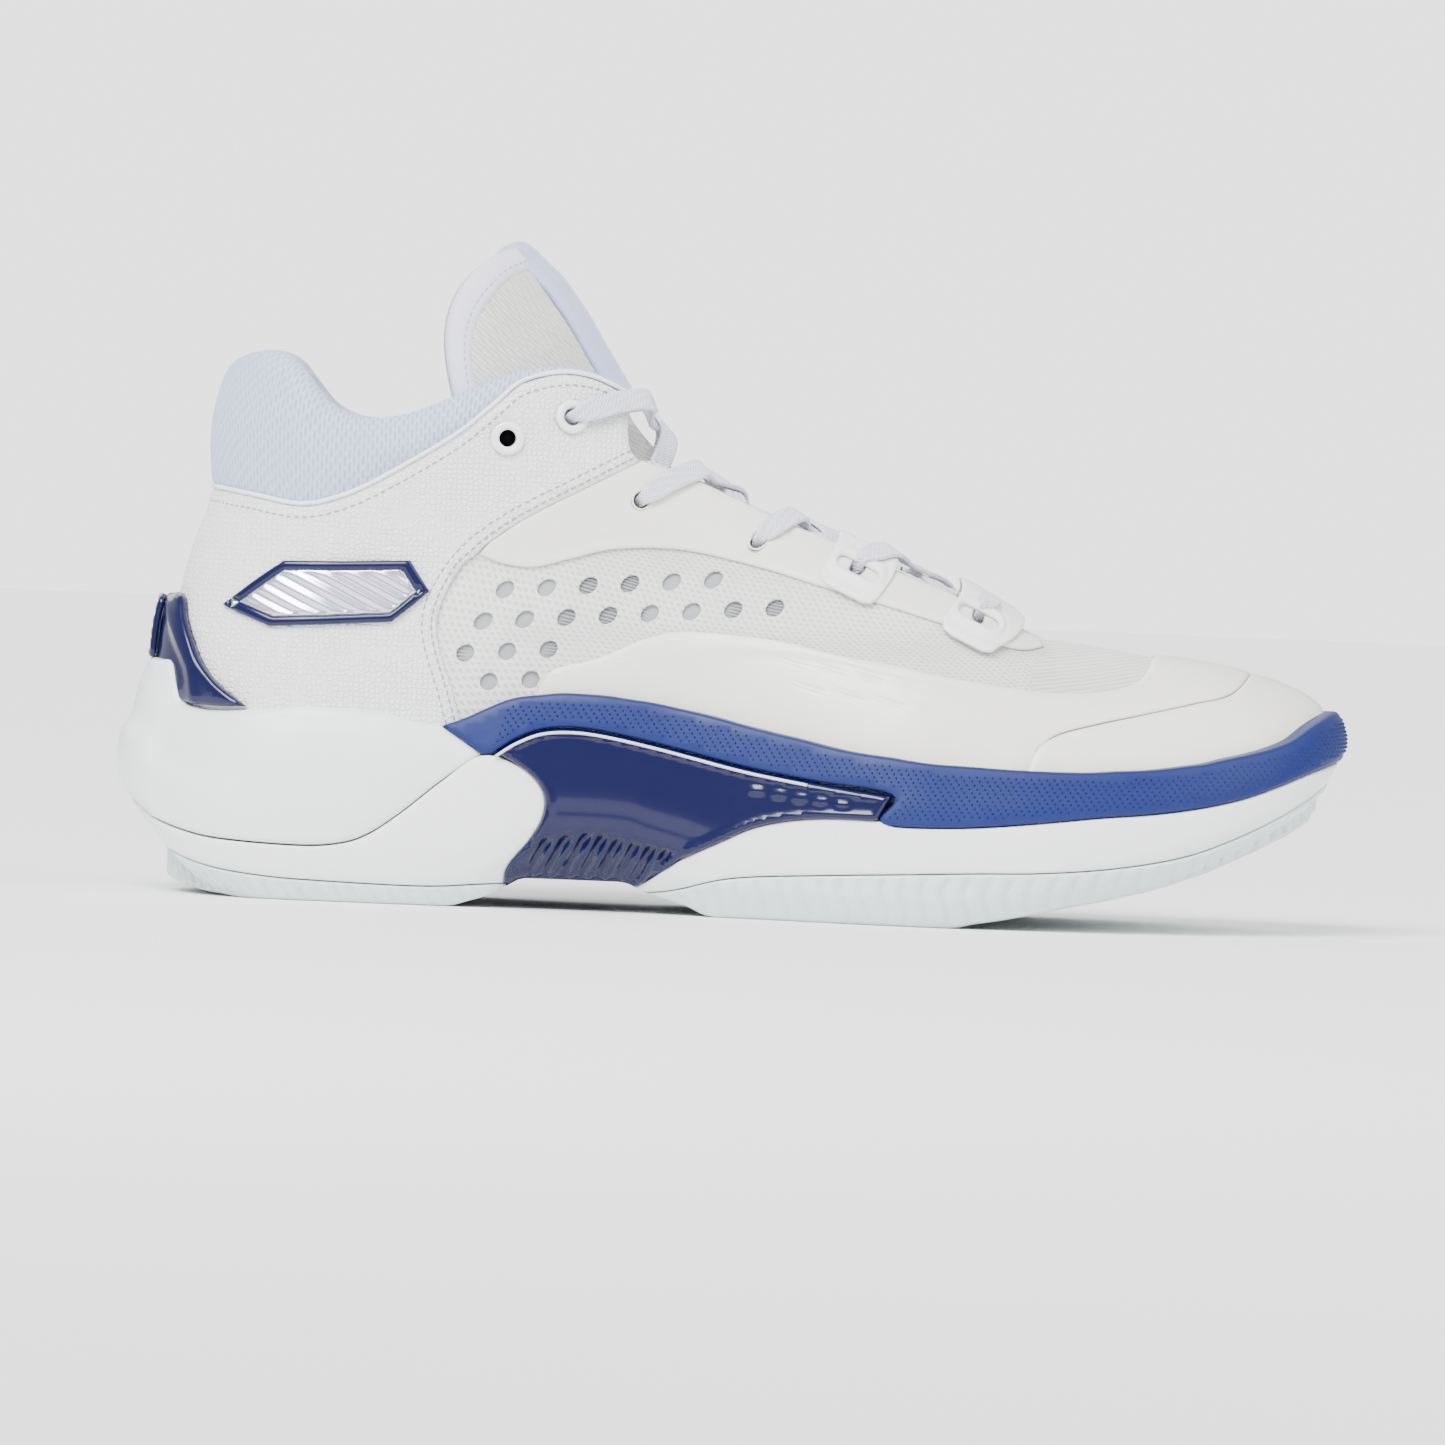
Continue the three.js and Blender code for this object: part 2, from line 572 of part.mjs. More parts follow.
// Stations of one crossing from hole `a` on `side` to hole `b` on the other side. A crossing starts
// under its own flap and ends over the other; a bar lies over both. `lift` is its height halfway.
function crossing(a, b, side, lift, isBar = false) {
  const start = skinAt(...placeOf(stops[a].at), side);
  const end = skinAt(...placeOf(stops[b].at), -side);
  const slope = (ridge((start.x + end.x) / 2 + 12) - ridge((start.x + end.x) / 2 + 2)) / 10;
  const up = new THREE.Vector3(-slope, 0, 1).normalize();
  // The way over the skin, in short steps, with its length so far at each.
  const steps = 80;
  const way = Array.from(
    { length: steps + 1 }, (_, i) => castToSkin(start.clone().lerp(end, i / steps), up),
  );
  const lengths = way.map(() => 0);
  for (let i = 1; i <= steps; i += 1) lengths[i] = lengths[i - 1] + way[i].distanceTo(way[i - 1]);
  const whole = lengths[steps];
  const pointAt = (s) => {
    let i = 1;
    while (i < steps && lengths[i] < s) i += 1;
    return way[i - 1].clone().lerp(way[i], (s - lengths[i - 1]) / (lengths[i] - lengths[i - 1]));
  };
  // The lengths at which the band leaves its own flap and reaches the other.
  const throatBack = quarterThroat[0][0] * stretch;
  const open = lengths.filter((_, i) => way[i].x > throatBack && way[i].z > throatHeight(way[i].x));
  const leave = open[0] + laceWidth / 3;
  const reach = open[open.length - 1] - laceWidth / 3;
  const middleWay = lengths[steps / 2];
  const level = laceWidth * 1.05;
  const first = isBar ? high(stops[a]) : underFlap;
  const heightAt = smooth([
    [0, first], [leave, first], [middleWay - level, lift], [middleWay + level, lift],
    [reach, high(stops[b])], [whole, high(stops[b])],
  ]);
  const last = whole - holeStep;
  const between = (from, to) => {
    const count = Math.max(1, Math.ceil((to - from) / 4));
    return Array.from({ length: count + 1 }, (_, i) => mix(from, to, i / count));
  };
  const crossed = [middleWay - level, middleWay, middleWay + level];
  const places = [...between(holeStep, leave), ...crossed, ...between(reach, last)];
  return places.map((s) => {
    const p = pointAt(s);
    return {
      point: p.clone().addScaledVector(normalAt(p), heightAt(s)), normal: normalAt(p), width: laceWidth,
    };
  });
}
function dive(stop, side) {
  const levels = [high(stop), (high(stop) + underFlap) / 2, underFlap];
  return levels.map((h) => ({ point: skinAt(...placeOf(stop.at), side, h), width: laceWidth / 2 }));
}
function laceHalf(side, lifts) {
  const stations = [...dive(stops[0], side)];
  let here = side;
  for (let i = 0; i + 1 < stops.length; i += 1) {
    stations.push(...crossing(i, i + 1, here, lifts[i]));
    here = -here;
    stations.push(...dive(stops[i + 1], here));
  }
  const hole = stops[stops.length - 1].at;
  for (const t of [0.22, 0.45, 0.7, 1]) {
    const [x, z] = [mix(hole[0], tuckedEnd[0], t), mix(hole[1], tuckedEnd[1], t)];
    const point = skinAt(...placeOf([x, z]), here, underFlap);
    stations.push({ point, normal: normalAt(point), width: laceWidth });
  }
  return stations;
}
// The band through all stations, thicker and wider by a clearance where it is used as a cutter.
function band(stations, clearance = 0, thickness = laceThickness) {
  let previous = null;
  const rings = stations.map((station, i) => {
    const before = stations[Math.max(0, i - 1)].point;
    const after = stations[Math.min(stations.length - 1, i + 1)].point;
    const travel = after.clone().sub(before).normalize();
    let across = previous;
    if (station.normal) across = travel.clone().cross(station.normal).normalize();
    if (previous && across.dot(previous) < 0) across = across.clone().negate();
    across = across.clone().addScaledVector(travel, -across.dot(travel)).normalize();
    previous = across;
    const up = across.clone().cross(travel).normalize();
    const w = station.width / 2 + clearance;
    const t = thickness / 2 + clearance;
    return [[-w, -t], [w, -t], [w, t], [-w, t]].map(([u, v]) => {
      return station.point.clone().addScaledVector(across, u).addScaledVector(up, v);
    });
  });
  return solid(loft(rings));
}
function laceStations() {
  const under = stops.slice(1).map(() => strandHeight);
  const over = under.map((h) => h + laceThickness + gap);
  const bar = crossing(0, 0, -1, strandHeight, true);
  return [...laceHalf(-1, under).reverse(), ...bar, ...laceHalf(1, over)];
}
const lace = laceStations();
const laceBody = band(lace);
const laceCutter = band(lace, gap);

// A round piece standing on the skin: its profile is [radius, height] and turns about the normal.
function standing(at, side, profile, facets = 12) {
  const points = [...profile, profile[0]].map(([r, h]) => new THREE.Vector2(r, h));
  const geometry = new THREE.LatheGeometry(points, facets);
  const foot = skinAt(...placeOf(at), side);
  geometry.applyQuaternion(new THREE.Quaternion().setFromUnitVectors(
    new THREE.Vector3(0, 1, 0), normalAt(foot),
  ));
  geometry.translate(foot.x, foot.y, foot.z);
  return solid(geometry);
}
function ringTube(at, side, radius, low, top) {
  return standing(at, side, [[laceHoleRadius, low], [radius, low], [radius, top], [laceHoleRadius, top]]);
}
function hole(at, side, radius) {
  return standing(at, side, [[0, -8], [radius, -8], [radius, 8], [0, 8]], 8);
}

// Upper, outside layers
const quarterOutline = [
  [-172, 10], [-172, 99.4], collarLine, quarterTopEdge, quarterThroat, seamUpper, seamLower, [-58, 10],
];
const eyestayOutline = [throatEdge, eyestayLow, [...seamUpper].reverse()];
const filmOutline = [
  [-48, 10], filmTop, [104, 90], [150, 90], [150, 66], [128, 66], [...capTop].reverse(), [70, 10],
];
const capOutline = [[70, 10], capTop, [150, 66], [160, 60], [160, 10]];
const badgeOutline = [[-126, 71], [-114, 66.4], [-84, 68.6], [-75, 76.4], [-80, 83.6], [-111, 82.4]];
const clipOutline = [
  [-170, 72.9], [-137.2, 72.9], [
    [-137.2, 72.9], [-136, 67.5], [-134, 62.1], [-131, 56.4], [-127, 51.9], [-122, 48.4], [-119.4, 46.6],
  ],
  [...topLine(-119.4, -139)].map(([x, z]) => [x, z + gap]), [-142.2, 51], [-143.6, 57], [-170, 57],
];
const sideHalf = { "-1": halfSpace(-1), 1: halfSpace(1) };
const quarterRing = shell(depth.quarter).intersect(prism(quarterOutline, -gap / 2));
const eyestayRing = shell(depth.overlay).intersect(prism(eyestayOutline, -gap / 2));
const badgeRing = shell([depth.onQuarter, depth.onQuarter + badgeThickness]).intersect(prism(badgeOutline));
const ringPlaces = [["upper", emptyRingPlace], ["lower", stops[4].at]];
const loopPlaces = [["front", stops[0].at], ["rear", stops[1].at]];
const barrelRadius = laceHoleRadius + barrelWall;
// The holes for the lace and the eyelet barrels, on both sides.
const holes = sides.flatMap(([, side]) => [
  ...stops.slice(0, 4).map((stop) => hole(stop.at, side, laceHoleRadius)),
  ...ringPlaces.map(([, at]) => hole(at, side, barrelRadius + gap)),
]);
const cuts = holes.reduce((all, one) => all.add(one));
for (const [name, side] of sides) {
  add(`quarter_${name}`, quarterRing.intersect(sideHalf[side]).subtract(cuts), "quarter");
  add(`eyestay_${name}`, eyestayRing.intersect(sideHalf[side]).subtract(cuts).subtract(laceCutter), "film");
  add(`badge_${name}`, badgeRing.intersect(sideHalf[side]), "badge");
  for (const [place, at] of ringPlaces) {
    const top = depth.onQuarter + eyeletRingHeight;
    const flange = ringTube(at, side, eyeletRingRadius, -1, top);
    const barrel = ringTube(at, side, barrelRadius, depth.lining[0], top - gap);
    add(`eyelet_ring_${place}_${name}`, flange.subtract(filled(depth.onQuarter)).add(barrel), "ring");
  }
}
// Ghillie loops: a tab round each of the two front lace stops, with a slot along the throat
const throatLean = Math.atan2(-5, 11);
function leaned([x, z], points) {
  const [c, s] = [Math.cos(throatLean), Math.sin(throatLean)];
  return points.map(([u, v]) => [x + u * c - v * s, z + u * s + v * c]);
}
const tabCorners = [[-8, -5.4], [-5.5, -7], [5, -7], [7.4, -5.4], [8, 6.4], [-8, 6.4]];
const slotCorners = [
  [-5.5, -1], [-4.5, -1.6], [4.5, -1.6], [5.5, -1], [5.5, 1], [4.5, 1.6], [-4.5, 1.6], [-5.5, 1],
];
const tabShell = shell([depth.onOverlay, depth.onOverlay + overlayThickness]);
for (const [name, side] of sides) {
  for (const [place, at] of loopPlaces) {
    const tab = tabShell.intersect(prism(leaned(at, tabCorners))).intersect(sideHalf[side]);
    const loop = tab.subtract(prism(leaned(at, slotCorners))).subtract(laceCutter);
    add(`ghillie_loop_${place}_${name}`, loop, "film");
  }
}
add("lace", laceBody, "lace");
// The tips of the lace lie beyond its two tucked ends
for (const [name, side] of sides) {
  const [x, z] = tuckedEnd;
  const drops = [laceThickness / 2 + 2 * gap, tipLength / 2, tipLength];
  const stations = drops.map((drop) => {
    const point = skinAt(x * stretch - drop * 0.3, z - drop, side, underFlap);
    return { point, normal: normalAt(point), width: tipWidth };
  });
  add(`lace_tip_${name}`, band(stations, 0, tipThickness), "lace");
}
add("forefoot_film", shell(depth.overlay).intersect(prism(filmOutline, -gap / 2)), "film");
add("toe_cap", shell(depth.overlay).intersect(prism(capOutline, -gap / 2)), "film");
add("heel_clip", shell(depth.clip).intersect(prism(clipOutline)), "navy");
const spineOutline = [[-170, 57], [-170, 71], [-130, 71], [-130, 57]];
add(
  "clip_spine",
  shell([
    depth.clip[1] + gap, depth.clip[1] + gap + spineThickness,
  ]).intersect(prism(spineOutline, 0, -5.5, 7)),
  "navy",
);

// Upper, inside layers
const vampOutline = [
  [-76, 10], [-80, 62], [-76, 80], [-66, 92], [-50, 101], [-34, 111], throatEdge, [80, 72], [84, 90],
  [160, 90], [160, 10],
];
add(
  "vamp_mesh",
  shell(depth.mesh).intersect(prism(vampOutline, -gap / 2)).subtract(cuts).subtract(laceCutter), "mesh",
);
const counterOutline = [[-172, 10], [-172, 84], [-118, 84], [-90, 62], [-78, 10]];
add("heel_counter", shell(depth.counter).intersect(prism(counterOutline, -gap)), "board");
const backingOutline = [
  [-70, 10], [-72, 62], [-70, 80], [-60, 86], [-40, 83], [-10, 85], [12, 82], [20, 66], [10, 10],
];
const backingRing = shell(depth.backing).intersect(prism(backingOutline));
for (const [name, side] of sides) add(
  `midfoot_backing_${name}`, backingRing.intersect(sideHalf[side]), "lining",
);
const puffOutline = [[92, 10], [96, 40], [106, 56], [118, 64], [160, 70], [160, 10]];
add("toe_puff", shell(depth.backing).intersect(prism(puffOutline)), "board");
const liningOutline = [
  [-172, 10], [-172, 97], collarLine.map(([x, z]) => [x, z - 2]),
  quarterTopEdge.map(([x, z]) => [x - 0.5, z - 2]), [-29, 117], [-29, 111], [-34, 103], [-30, 94.4],
  [4, 85], [28, 79.4], [56, 68.6], [74, 66.6], [84, 90], [160, 90], [160, 10],
];
add("lining", shell(depth.lining).intersect(prism(liningOutline)).subtract(cuts), "lining");

// Collar: a thick pad that shows above the quarter and reaches down inside the lining
const padInner = (x) => -mix(collarPadding, -depth.tongueFace[1] - gap - 0.3, ease((x / stretch + 96) / 22));
const collarRoom = skinSolid(padInner, footbedHeight - 2, 171);
const collarAbove = [
  [-172, 99.4 + gap], ...[collarLine.map(([x, z]) => [x, z + gap])],
  quarterTopEdge.map(([x, z]) => [x, z + gap]), [...collarTop].reverse(), [-172, 128],
];
const collarInside = [
  [-172, 74], [-172, 125], [-131, 125], collarLine.map(([x, z]) => [x, z + 8]), [-60, 127], [-56, 116],
  [-66, 104], [-84, 90], [-104, 76], [-124, 73],
];
const collar = filled(depth.quarter[1]).intersect(prism(collarAbove))
  .add(filled(depth.lining[0] - gap).intersect(prism(collarInside)))
  .subtract(collarRoom);
add("collar_pad", collar, "collar");

// Tongue
const tongueOutline = [[...tongueRear], [-20, 175], [90, 175], [90, 66], tongueLow];
const aboveFold = [[-120, foldHeight + gap], [-120, 200], [100, 200], [100, foldHeight + gap]];
const belowFold = [[-120, 0], [-120, foldHeight - gap], [100, foldHeight - gap], [100, 0]];
const tongueBody = prism(tongueOutline);
const tongueInner = prism([
  tongueRear.map(([x, z]) => [x + bindingWidth, z - 2.4]), [-20, 172], [90, 172], [90, 66],
  tongueLow.map(([x, z]) => [x, z + 0.1]),
]);
for (const [name, zone] of [["lower", belowFold], ["top", aboveFold]]) {
  const outline = name === "top" ? tongueInner : tongueBody;
  const face = shell(depth.tongueFace).intersect(outline).intersect(prism(zone));
  add(`tongue_face_${name}`, face.subtract(laceCutter), "tongue");
  add(`tongue_pad_${name}`, shell(depth.tonguePad).intersect(outline).intersect(prism(zone)), "tongue");
}
const bindingShell = shell(depth.tongueBinding).intersect(tongueBody).intersect(prism(aboveFold));
const bindingInner = prism([
  tongueRear.map(([x, z]) => [x + bindingWidth - gap, z - 2.4 + gap]), [-20, 172.4], [90, 172.4], [90, 0],
  [-60, 0],
]);
add("tongue_binding", bindingShell.subtract(bindingInner), "strap");

// Pull strap: from the top edge of the tongue down its front to the top of the lace
const strapOuter = [[-63, 160.6], [-57, 162.3], [-51, 158.8], [-43, 150.6], [-36.5, 141.4], [-33, 136]];
const strapInner = [[-35.4, 134.4], [-38, 139.4], [-41, 145], [-46, 150.4], [-54, 156.4], [-63, 158.4]];
const strapBody = prism([strapOuter, strapInner], 0, -strapHalfWidth, strapHalfWidth);
add("pull_strap", strapBody.subtract(filled(depth.tongueBinding[1] + gap)), "strap");

export default shoe;
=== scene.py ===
"""Looks of a right-foot basketball high top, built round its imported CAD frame.

Laid out as a Blender add-on: sizes and colours are properties, each piece or group of like pieces
has an operator, and a panel in the 3D view's sidebar lists them. Run as a script it builds all.
Shapes are worked out in millimetres and written to the meshes in metres.
"""

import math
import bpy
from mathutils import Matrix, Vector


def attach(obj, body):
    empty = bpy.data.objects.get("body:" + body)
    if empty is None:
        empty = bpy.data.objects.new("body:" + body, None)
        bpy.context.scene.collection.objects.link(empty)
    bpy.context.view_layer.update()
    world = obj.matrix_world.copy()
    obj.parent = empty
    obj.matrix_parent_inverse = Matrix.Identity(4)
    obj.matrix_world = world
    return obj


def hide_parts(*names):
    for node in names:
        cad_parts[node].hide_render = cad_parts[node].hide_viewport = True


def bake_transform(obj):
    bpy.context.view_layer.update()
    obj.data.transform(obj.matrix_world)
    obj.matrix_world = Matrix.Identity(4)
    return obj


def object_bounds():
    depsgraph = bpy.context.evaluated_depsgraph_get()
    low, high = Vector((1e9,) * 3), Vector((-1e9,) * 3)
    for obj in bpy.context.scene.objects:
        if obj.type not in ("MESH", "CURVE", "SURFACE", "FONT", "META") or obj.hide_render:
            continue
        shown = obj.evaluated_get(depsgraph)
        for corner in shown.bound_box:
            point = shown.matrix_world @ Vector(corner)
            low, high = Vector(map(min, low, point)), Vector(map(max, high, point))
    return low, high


bl_info = {
    "name": "Basketball High Top",
    "version": (1, 0, 0),
    "blender": (4, 5, 0),
    "location": "View3D > Sidebar > High Top",
    "description": "Builds the fabric, film, foam and rubber of a laced basketball high top",
    "category": "Object",
}

import bmesh
import bpy
import numpy as np
from bpy.props import FloatProperty, FloatVectorProperty, PointerProperty
from bpy.types import Operator, Panel, PropertyGroup
from mathutils import Matrix, Vector
from mathutils.geometry import delaunay_2d_cdt

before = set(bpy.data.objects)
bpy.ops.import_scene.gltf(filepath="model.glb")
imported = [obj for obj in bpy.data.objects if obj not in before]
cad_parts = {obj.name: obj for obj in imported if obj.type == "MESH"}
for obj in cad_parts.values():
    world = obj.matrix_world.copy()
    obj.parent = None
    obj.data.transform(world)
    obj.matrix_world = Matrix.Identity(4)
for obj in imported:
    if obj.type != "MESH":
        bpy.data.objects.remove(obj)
cad_low, cad_high = [np.array(corner) * 1000 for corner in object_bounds()]
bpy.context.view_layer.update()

SHOE, TONGUE_TOP = "shoe", "tongue_top"
LATERAL, MEDIAL = -1, 1
SIDES = (("lateral", LATERAL), ("medial", MEDIAL))
HALF = (cad_high[0] - cad_low[0]) / 2
SOLE_WIDTH = 109.0
FOOTBED = 19.0
TOE_END = HALF - 4.5
TOE_SPRING = 18.0


# ------------------------------------------------------------------ curves
def smooth(points):
    """A function through (t, value) points that never overshoots between two of them."""
    t, v = np.array(points, float).T
    slope = np.diff(v) / np.diff(t)
    tangent = np.concatenate([slope[:1], np.zeros(len(v) - 2), slope[-1:]])
    before, after = slope[:-1], slope[1:]
    total = np.where(before + after == 0, 1, before + after)
    tangent[1:-1] = np.where(before * after > 0, 2 * before * after / total, 0)

    def curve(x):
        x = np.clip(np.asarray(x, float), t[0], t[-1])
        i = np.clip(np.searchsorted(t, x, side="right") - 1, 0, len(t) - 2)
        h = t[i + 1] - t[i]
        s = (x - t[i]) / h
        a = v[i] + s * h * tangent[i]
        b = v[i + 1] - (1 - s) * h * tangent[i + 1]
        blend = s * s * (3 - 2 * s)
        return a * (1 - blend) + b * blend

    return curve


def ease(x):
    x = np.clip(x, 0, 1)
    return x * x * (3 - 2 * x)


def mix(a, b, s):
    return a + (b - a) * s


def bell(far, width):
    """1 on a line and falling to 0 beside it, for welts, seams and facets."""
    return np.exp(-((far / width) ** 2))


def unit(vectors):
    """Vectors scaled to length 1, row by row."""
    return vectors / np.maximum(np.linalg.norm(vectors, axis=1, keepdims=True), 1e-9)


def turned(vectors):
    """Flat vectors turned a quarter turn to the left, row by row."""
    return np.stack([-vectors[:, 1], vectors[:, 0]], axis=1)


def run_lengths(points):
    """The distance run along a polyline, at each of its points."""
    return np.concatenate([[0], np.cumsum(np.linalg.norm(np.diff(points, axis=0), axis=1))])


def along_run(at, lengths, table):
    """Rows of a table interpolated at distances along a polyline."""
    return np.array([np.interp(at, lengths, column) for column in table.T]).T


SPAN_STEPS = 12


def spline(points):
    """Catmull-Rom through the points, sampled evenly inside each span."""
    p = np.array(points, float)
    if len(p) < 3:
        return p
    q = np.vstack([2 * p[0] - p[1], p, 2 * p[-1] - p[-2]])
    t = np.linspace(0, 1, SPAN_STEPS, endpoint=False)[:, None]
    spans = []
    for i in range(len(p) - 1):
        a, b, c, d = q[i : i + 4]
        square, cube = 2 * a - 5 * b + 4 * c - d, 3 * b - a - 3 * c + d
        spans.append(0.5 * (2 * b + (c - a) * t + square * t**2 + cube * t**3))
    return np.vstack(spans + [p[-1:]])


def spaced(points, step):
    """Points at even steps along a polyline."""
    p = np.array(points, float)
    lengths = run_lengths(p)
    count = max(2, int(round(lengths[-1] / step)))
    return along_run(np.linspace(0, lengths[-1], count + 1), lengths, p)


def outline(parts, step=1.2):
    """A closed outline from corner points (pairs) and curves (lists of pairs)."""
    runs = []
    for part in parts:
        part = np.array(part, float)
        runs.append(part[None, :] if part.ndim == 1 else spline(part))
    joined = np.vstack(runs)
    corners = [joined[0]]
    for p in joined[1:]:
        gap = np.linalg.norm(p - corners[-1])
        if gap > step * 1.5:
            count = int(gap / step)
            corners.extend(mix(corners[-1], p, k / count) for k in range(1, count))
        if gap > step * 0.45:
            corners.append(p)
    if np.linalg.norm(corners[0] - corners[-1]) < step * 0.45:
        corners.pop()
    gap = np.linalg.norm(corners[0] - corners[-1])
    if gap > step * 1.5:
        count = int(gap / step)
        corners.extend([mix(corners[-1], corners[0], k / count) for k in range(1, count)])
    return np.array(corners)


# ------------------------------------------------------------------ the skin of the upper
middle = smooth([
    (-150, 1), (-95, 0.6), (-30, -1.5), (10, -2), (55, 0.2), (105, 3), (130, 5), (150, 7.5),
])
ridge = smooth([
    (-150, 262), (-110, 232), (-80, 200), (-62, 178), (-52, 165.5), (-43, 153.5), (-35, 141.5),
    (-27, 130), (-19, 119), (-10, 110.5), (0, 104.5), (21, 96), (36, 90), (50, 84.6), (61, 78.6),
    (68, 73.6), (73, 70.4), (78, 68.4), (90, 65.2), (102, 61.2), (112, 57.9), (121, 54.4),
    (129, 50.4),
    (136, 46), (141, 42), (143.8, 38), (145, 34), (145.6, 28), (TOE_END, FOOTBED - 2),
])
heel_back = smooth([
    (17, -137.5), (30, -138.4), (45, -138.4), (60, -137.6), (73, -135.4), (86, -132.2),
    (99, -128.6), (112, -128), (125, -126.6), (140, -124), (185, -118),
])
feather = smooth([
    (-150, 34), (-95, 34), (-60, 33), (-25, 32), (0, 35), (30, 43), (55, 47.5), (75, 48.5),
])
ankle = smooth([
    (17, 0.94), (32, 1), (52, 1), (72, 0.95), (92, 0.9), (110, 0.93), (130, 1), (185, 1),
])
arch_power = smooth([(-60, 3.2), (-20, 2.5), (20, 2.2), (70, 2.3), (110, 2.7)])
RIDGE_SAMPLES = 3000
_ridge_x = np.linspace(-150, TOE_END, RIDGE_SAMPLES)
_ridge_z = ridge(_ridge_x)


def spring(x):
    return TOE_SPRING * np.clip((x - 45) / (HALF - 45), 0, 1) ** 2


def ridge_x(z):
    return np.interp(-np.asarray(z, float), -_ridge_z, _ridge_x)


def half_width(x, z):
    floor = FOOTBED - 4
    rise = np.clip((z - floor) / (ridge(x) - floor), 0, 1)
    arch = np.sqrt(np.maximum(0, 1 - rise ** arch_power(x)))
    toe = np.sqrt(np.maximum(0, 1 - np.clip((x - 62) / (TOE_END - 62), 0, 1) ** 2.3))
    back = np.clip((x - heel_back(z)) / 36, 0, 1)
    heel = np.sqrt(np.maximum(0, 1 - (1 - back) ** 2))
    return feather(x) * toe * arch * heel * mix(ankle(z), 1, ease((x + 70) / 70))


def inside(p):
    """Positive inside the skin, and smooth across the ridge and the heel."""
    return half_width(p[:, 0], p[:, 2] - spring(p[:, 0])) ** 2 - (p[:, 1] - middle(p[:, 0])) ** 2


NORMAL_STEP = 0.05


def skin_normal(p):
    """Outward normals of the skin, or of the surface beside it that the points stand on."""
    n = np.zeros_like(p)
    for k in range(3):
        step = np.zeros(3)
        step[k] = NORMAL_STEP
        n[:, k] = inside(p - step) - inside(p + step)
    return unit(n)


def skin_base(turn, z, side):
    back, front = heel_back(z), ridge_x(z)
    x = (back + front) / 2 - (front - back) / 2 * np.cos(turn)
    return np.stack([x, middle(x) + side * half_width(x, z), z + spring(x)], axis=1)


def skin_turn(x, z):
    back, front = heel_back(z), ridge_x(z)
    return np.arccos(np.clip(1 - 2 * (x - back) / (front - back), -1, 1))


# The skin unrolled: for each height and turn, the length along the ring from the heel's back, and
# the length up the skin from its lowest ring.
LEVELS = np.arange(12.0, 182.0, 1.0)
TURNS = np.linspace(0, math.pi, 241)
_grid_z, _grid_t = [g.ravel() for g in np.meshgrid(LEVELS, TURNS, indexing="ij")]
_grid = skin_base(_grid_t, _grid_z, LATERAL).reshape(len(LEVELS), len(TURNS), 3)
RING = np.zeros(_grid.shape[:2])
RING[:, 1:] = np.cumsum(np.linalg.norm(np.diff(_grid, axis=1), axis=2), axis=1)
CLIMB = np.zeros(_grid.shape[:2])
CLIMB[1:] = np.cumsum(np.linalg.norm(np.diff(_grid, axis=0), axis=2), axis=0)


def look_up(table, turn, z):
    i = np.clip((z - LEVELS[0]) / (LEVELS[1] - LEVELS[0]), 0, len(LEVELS) - 1.001)
    j = np.clip(turn / TURNS[1], 0, len(TURNS) - 1.001)
    a, b = i.astype(int), j.astype(int)
    u, v = i - a, j - b
    low = table[a, b] * (1 - v) + table[a, b + 1] * v
    high = table[a + 1, b] * (1 - v) + table[a + 1, b + 1] * v
    return low * (1 - u) + high * u


TURN_HALVINGS = 26


def turn_at_length(length, z):
    """The turn at a length round the ring, by halving the span between heel and ridge."""
    low, high = np.zeros_like(z), np.full_like(z, math.pi)
    for _ in range(TURN_HALVINGS):
        mid = (low + high) / 2
        short = look_up(RING, mid, z) < length
        low = np.where(short, mid, low)
        high = np.where(short, high, mid)
    return (low + high) / 2


OFFSET_ROUNDS = 5


class Skin:
    """The upper's skin as a flat sheet: across is millimetres from the heel's back seam, or from
    the ridge over the toe where from_toe is set, negative on the lateral side; up is height."""

    def __init__(self, side=None, from_toe=False):
        self.side = side
        self.from_toe = from_toe

    def flat(self, points, offset=0.0):
        """Side-view points (x, height) seen on the surface offset from the skin, laid flat."""
        seen = np.array(points, float)
        x, height = seen.T
        for _ in range(OFFSET_ROUNDS if offset else 0):
            z = np.minimum(height - spring(x), ridge(np.clip(x, -150, TOE_END)) - 0.3)
            base = skin_base(skin_turn(x, z), z, MEDIAL)
            shift = skin_normal(base) * offset
            x, height = seen[:, 0] - shift[:, 0], seen[:, 1] - shift[:, 2]
        z = np.minimum(height - spring(x), ridge(np.clip(x, -150, TOE_END)))
        turn = skin_turn(x, z)
        length = look_up(RING, turn, z)
        if self.from_toe:
            length = look_up(RING, np.full_like(z, math.pi), z) - length
        return np.stack([length, z], axis=1)

    def front(self, high, low):
        """Flat points down the ridge, from one flat height to another."""
        z = np.arange(high, low, -1.5)
        return np.stack([look_up(RING, np.full_like(z, math.pi), z), z], axis=1)

    def turns(self, flat):
        across, z = np.abs(flat[:, 0]), flat[:, 1]
        whole = look_up(RING, np.full_like(z, math.pi), z)
        length = whole - across if self.from_toe else across
        return turn_at_length(np.clip(length, 0, whole), z)

    def place(self, flat, offset):
        flat = np.asarray(flat, float)
        side = np.where(flat[:, 0] < 0, LATERAL, MEDIAL) if self.side is None else self.side
        base = skin_base(self.turns(flat), flat[:, 1], side)
        return base + skin_normal(base) * np.reshape(offset, (-1, 1))

    def cloth(self, flat):
        """Lengths along the cloth, for weaves."""
        return np.stack([flat[:, 0], look_up(CLIMB, self.turns(flat), flat[:, 1])], axis=1)


def on_skin(points, side, offset):
    """Places for side-view points (x, height) on one side of the shoe."""
    x, height = np.array(points, float).T
    z = height - spring(x)
    base = skin_base(skin_turn(x, z), z, side)
    return base + skin_normal(base) * np.reshape(offset, (-1, 1))


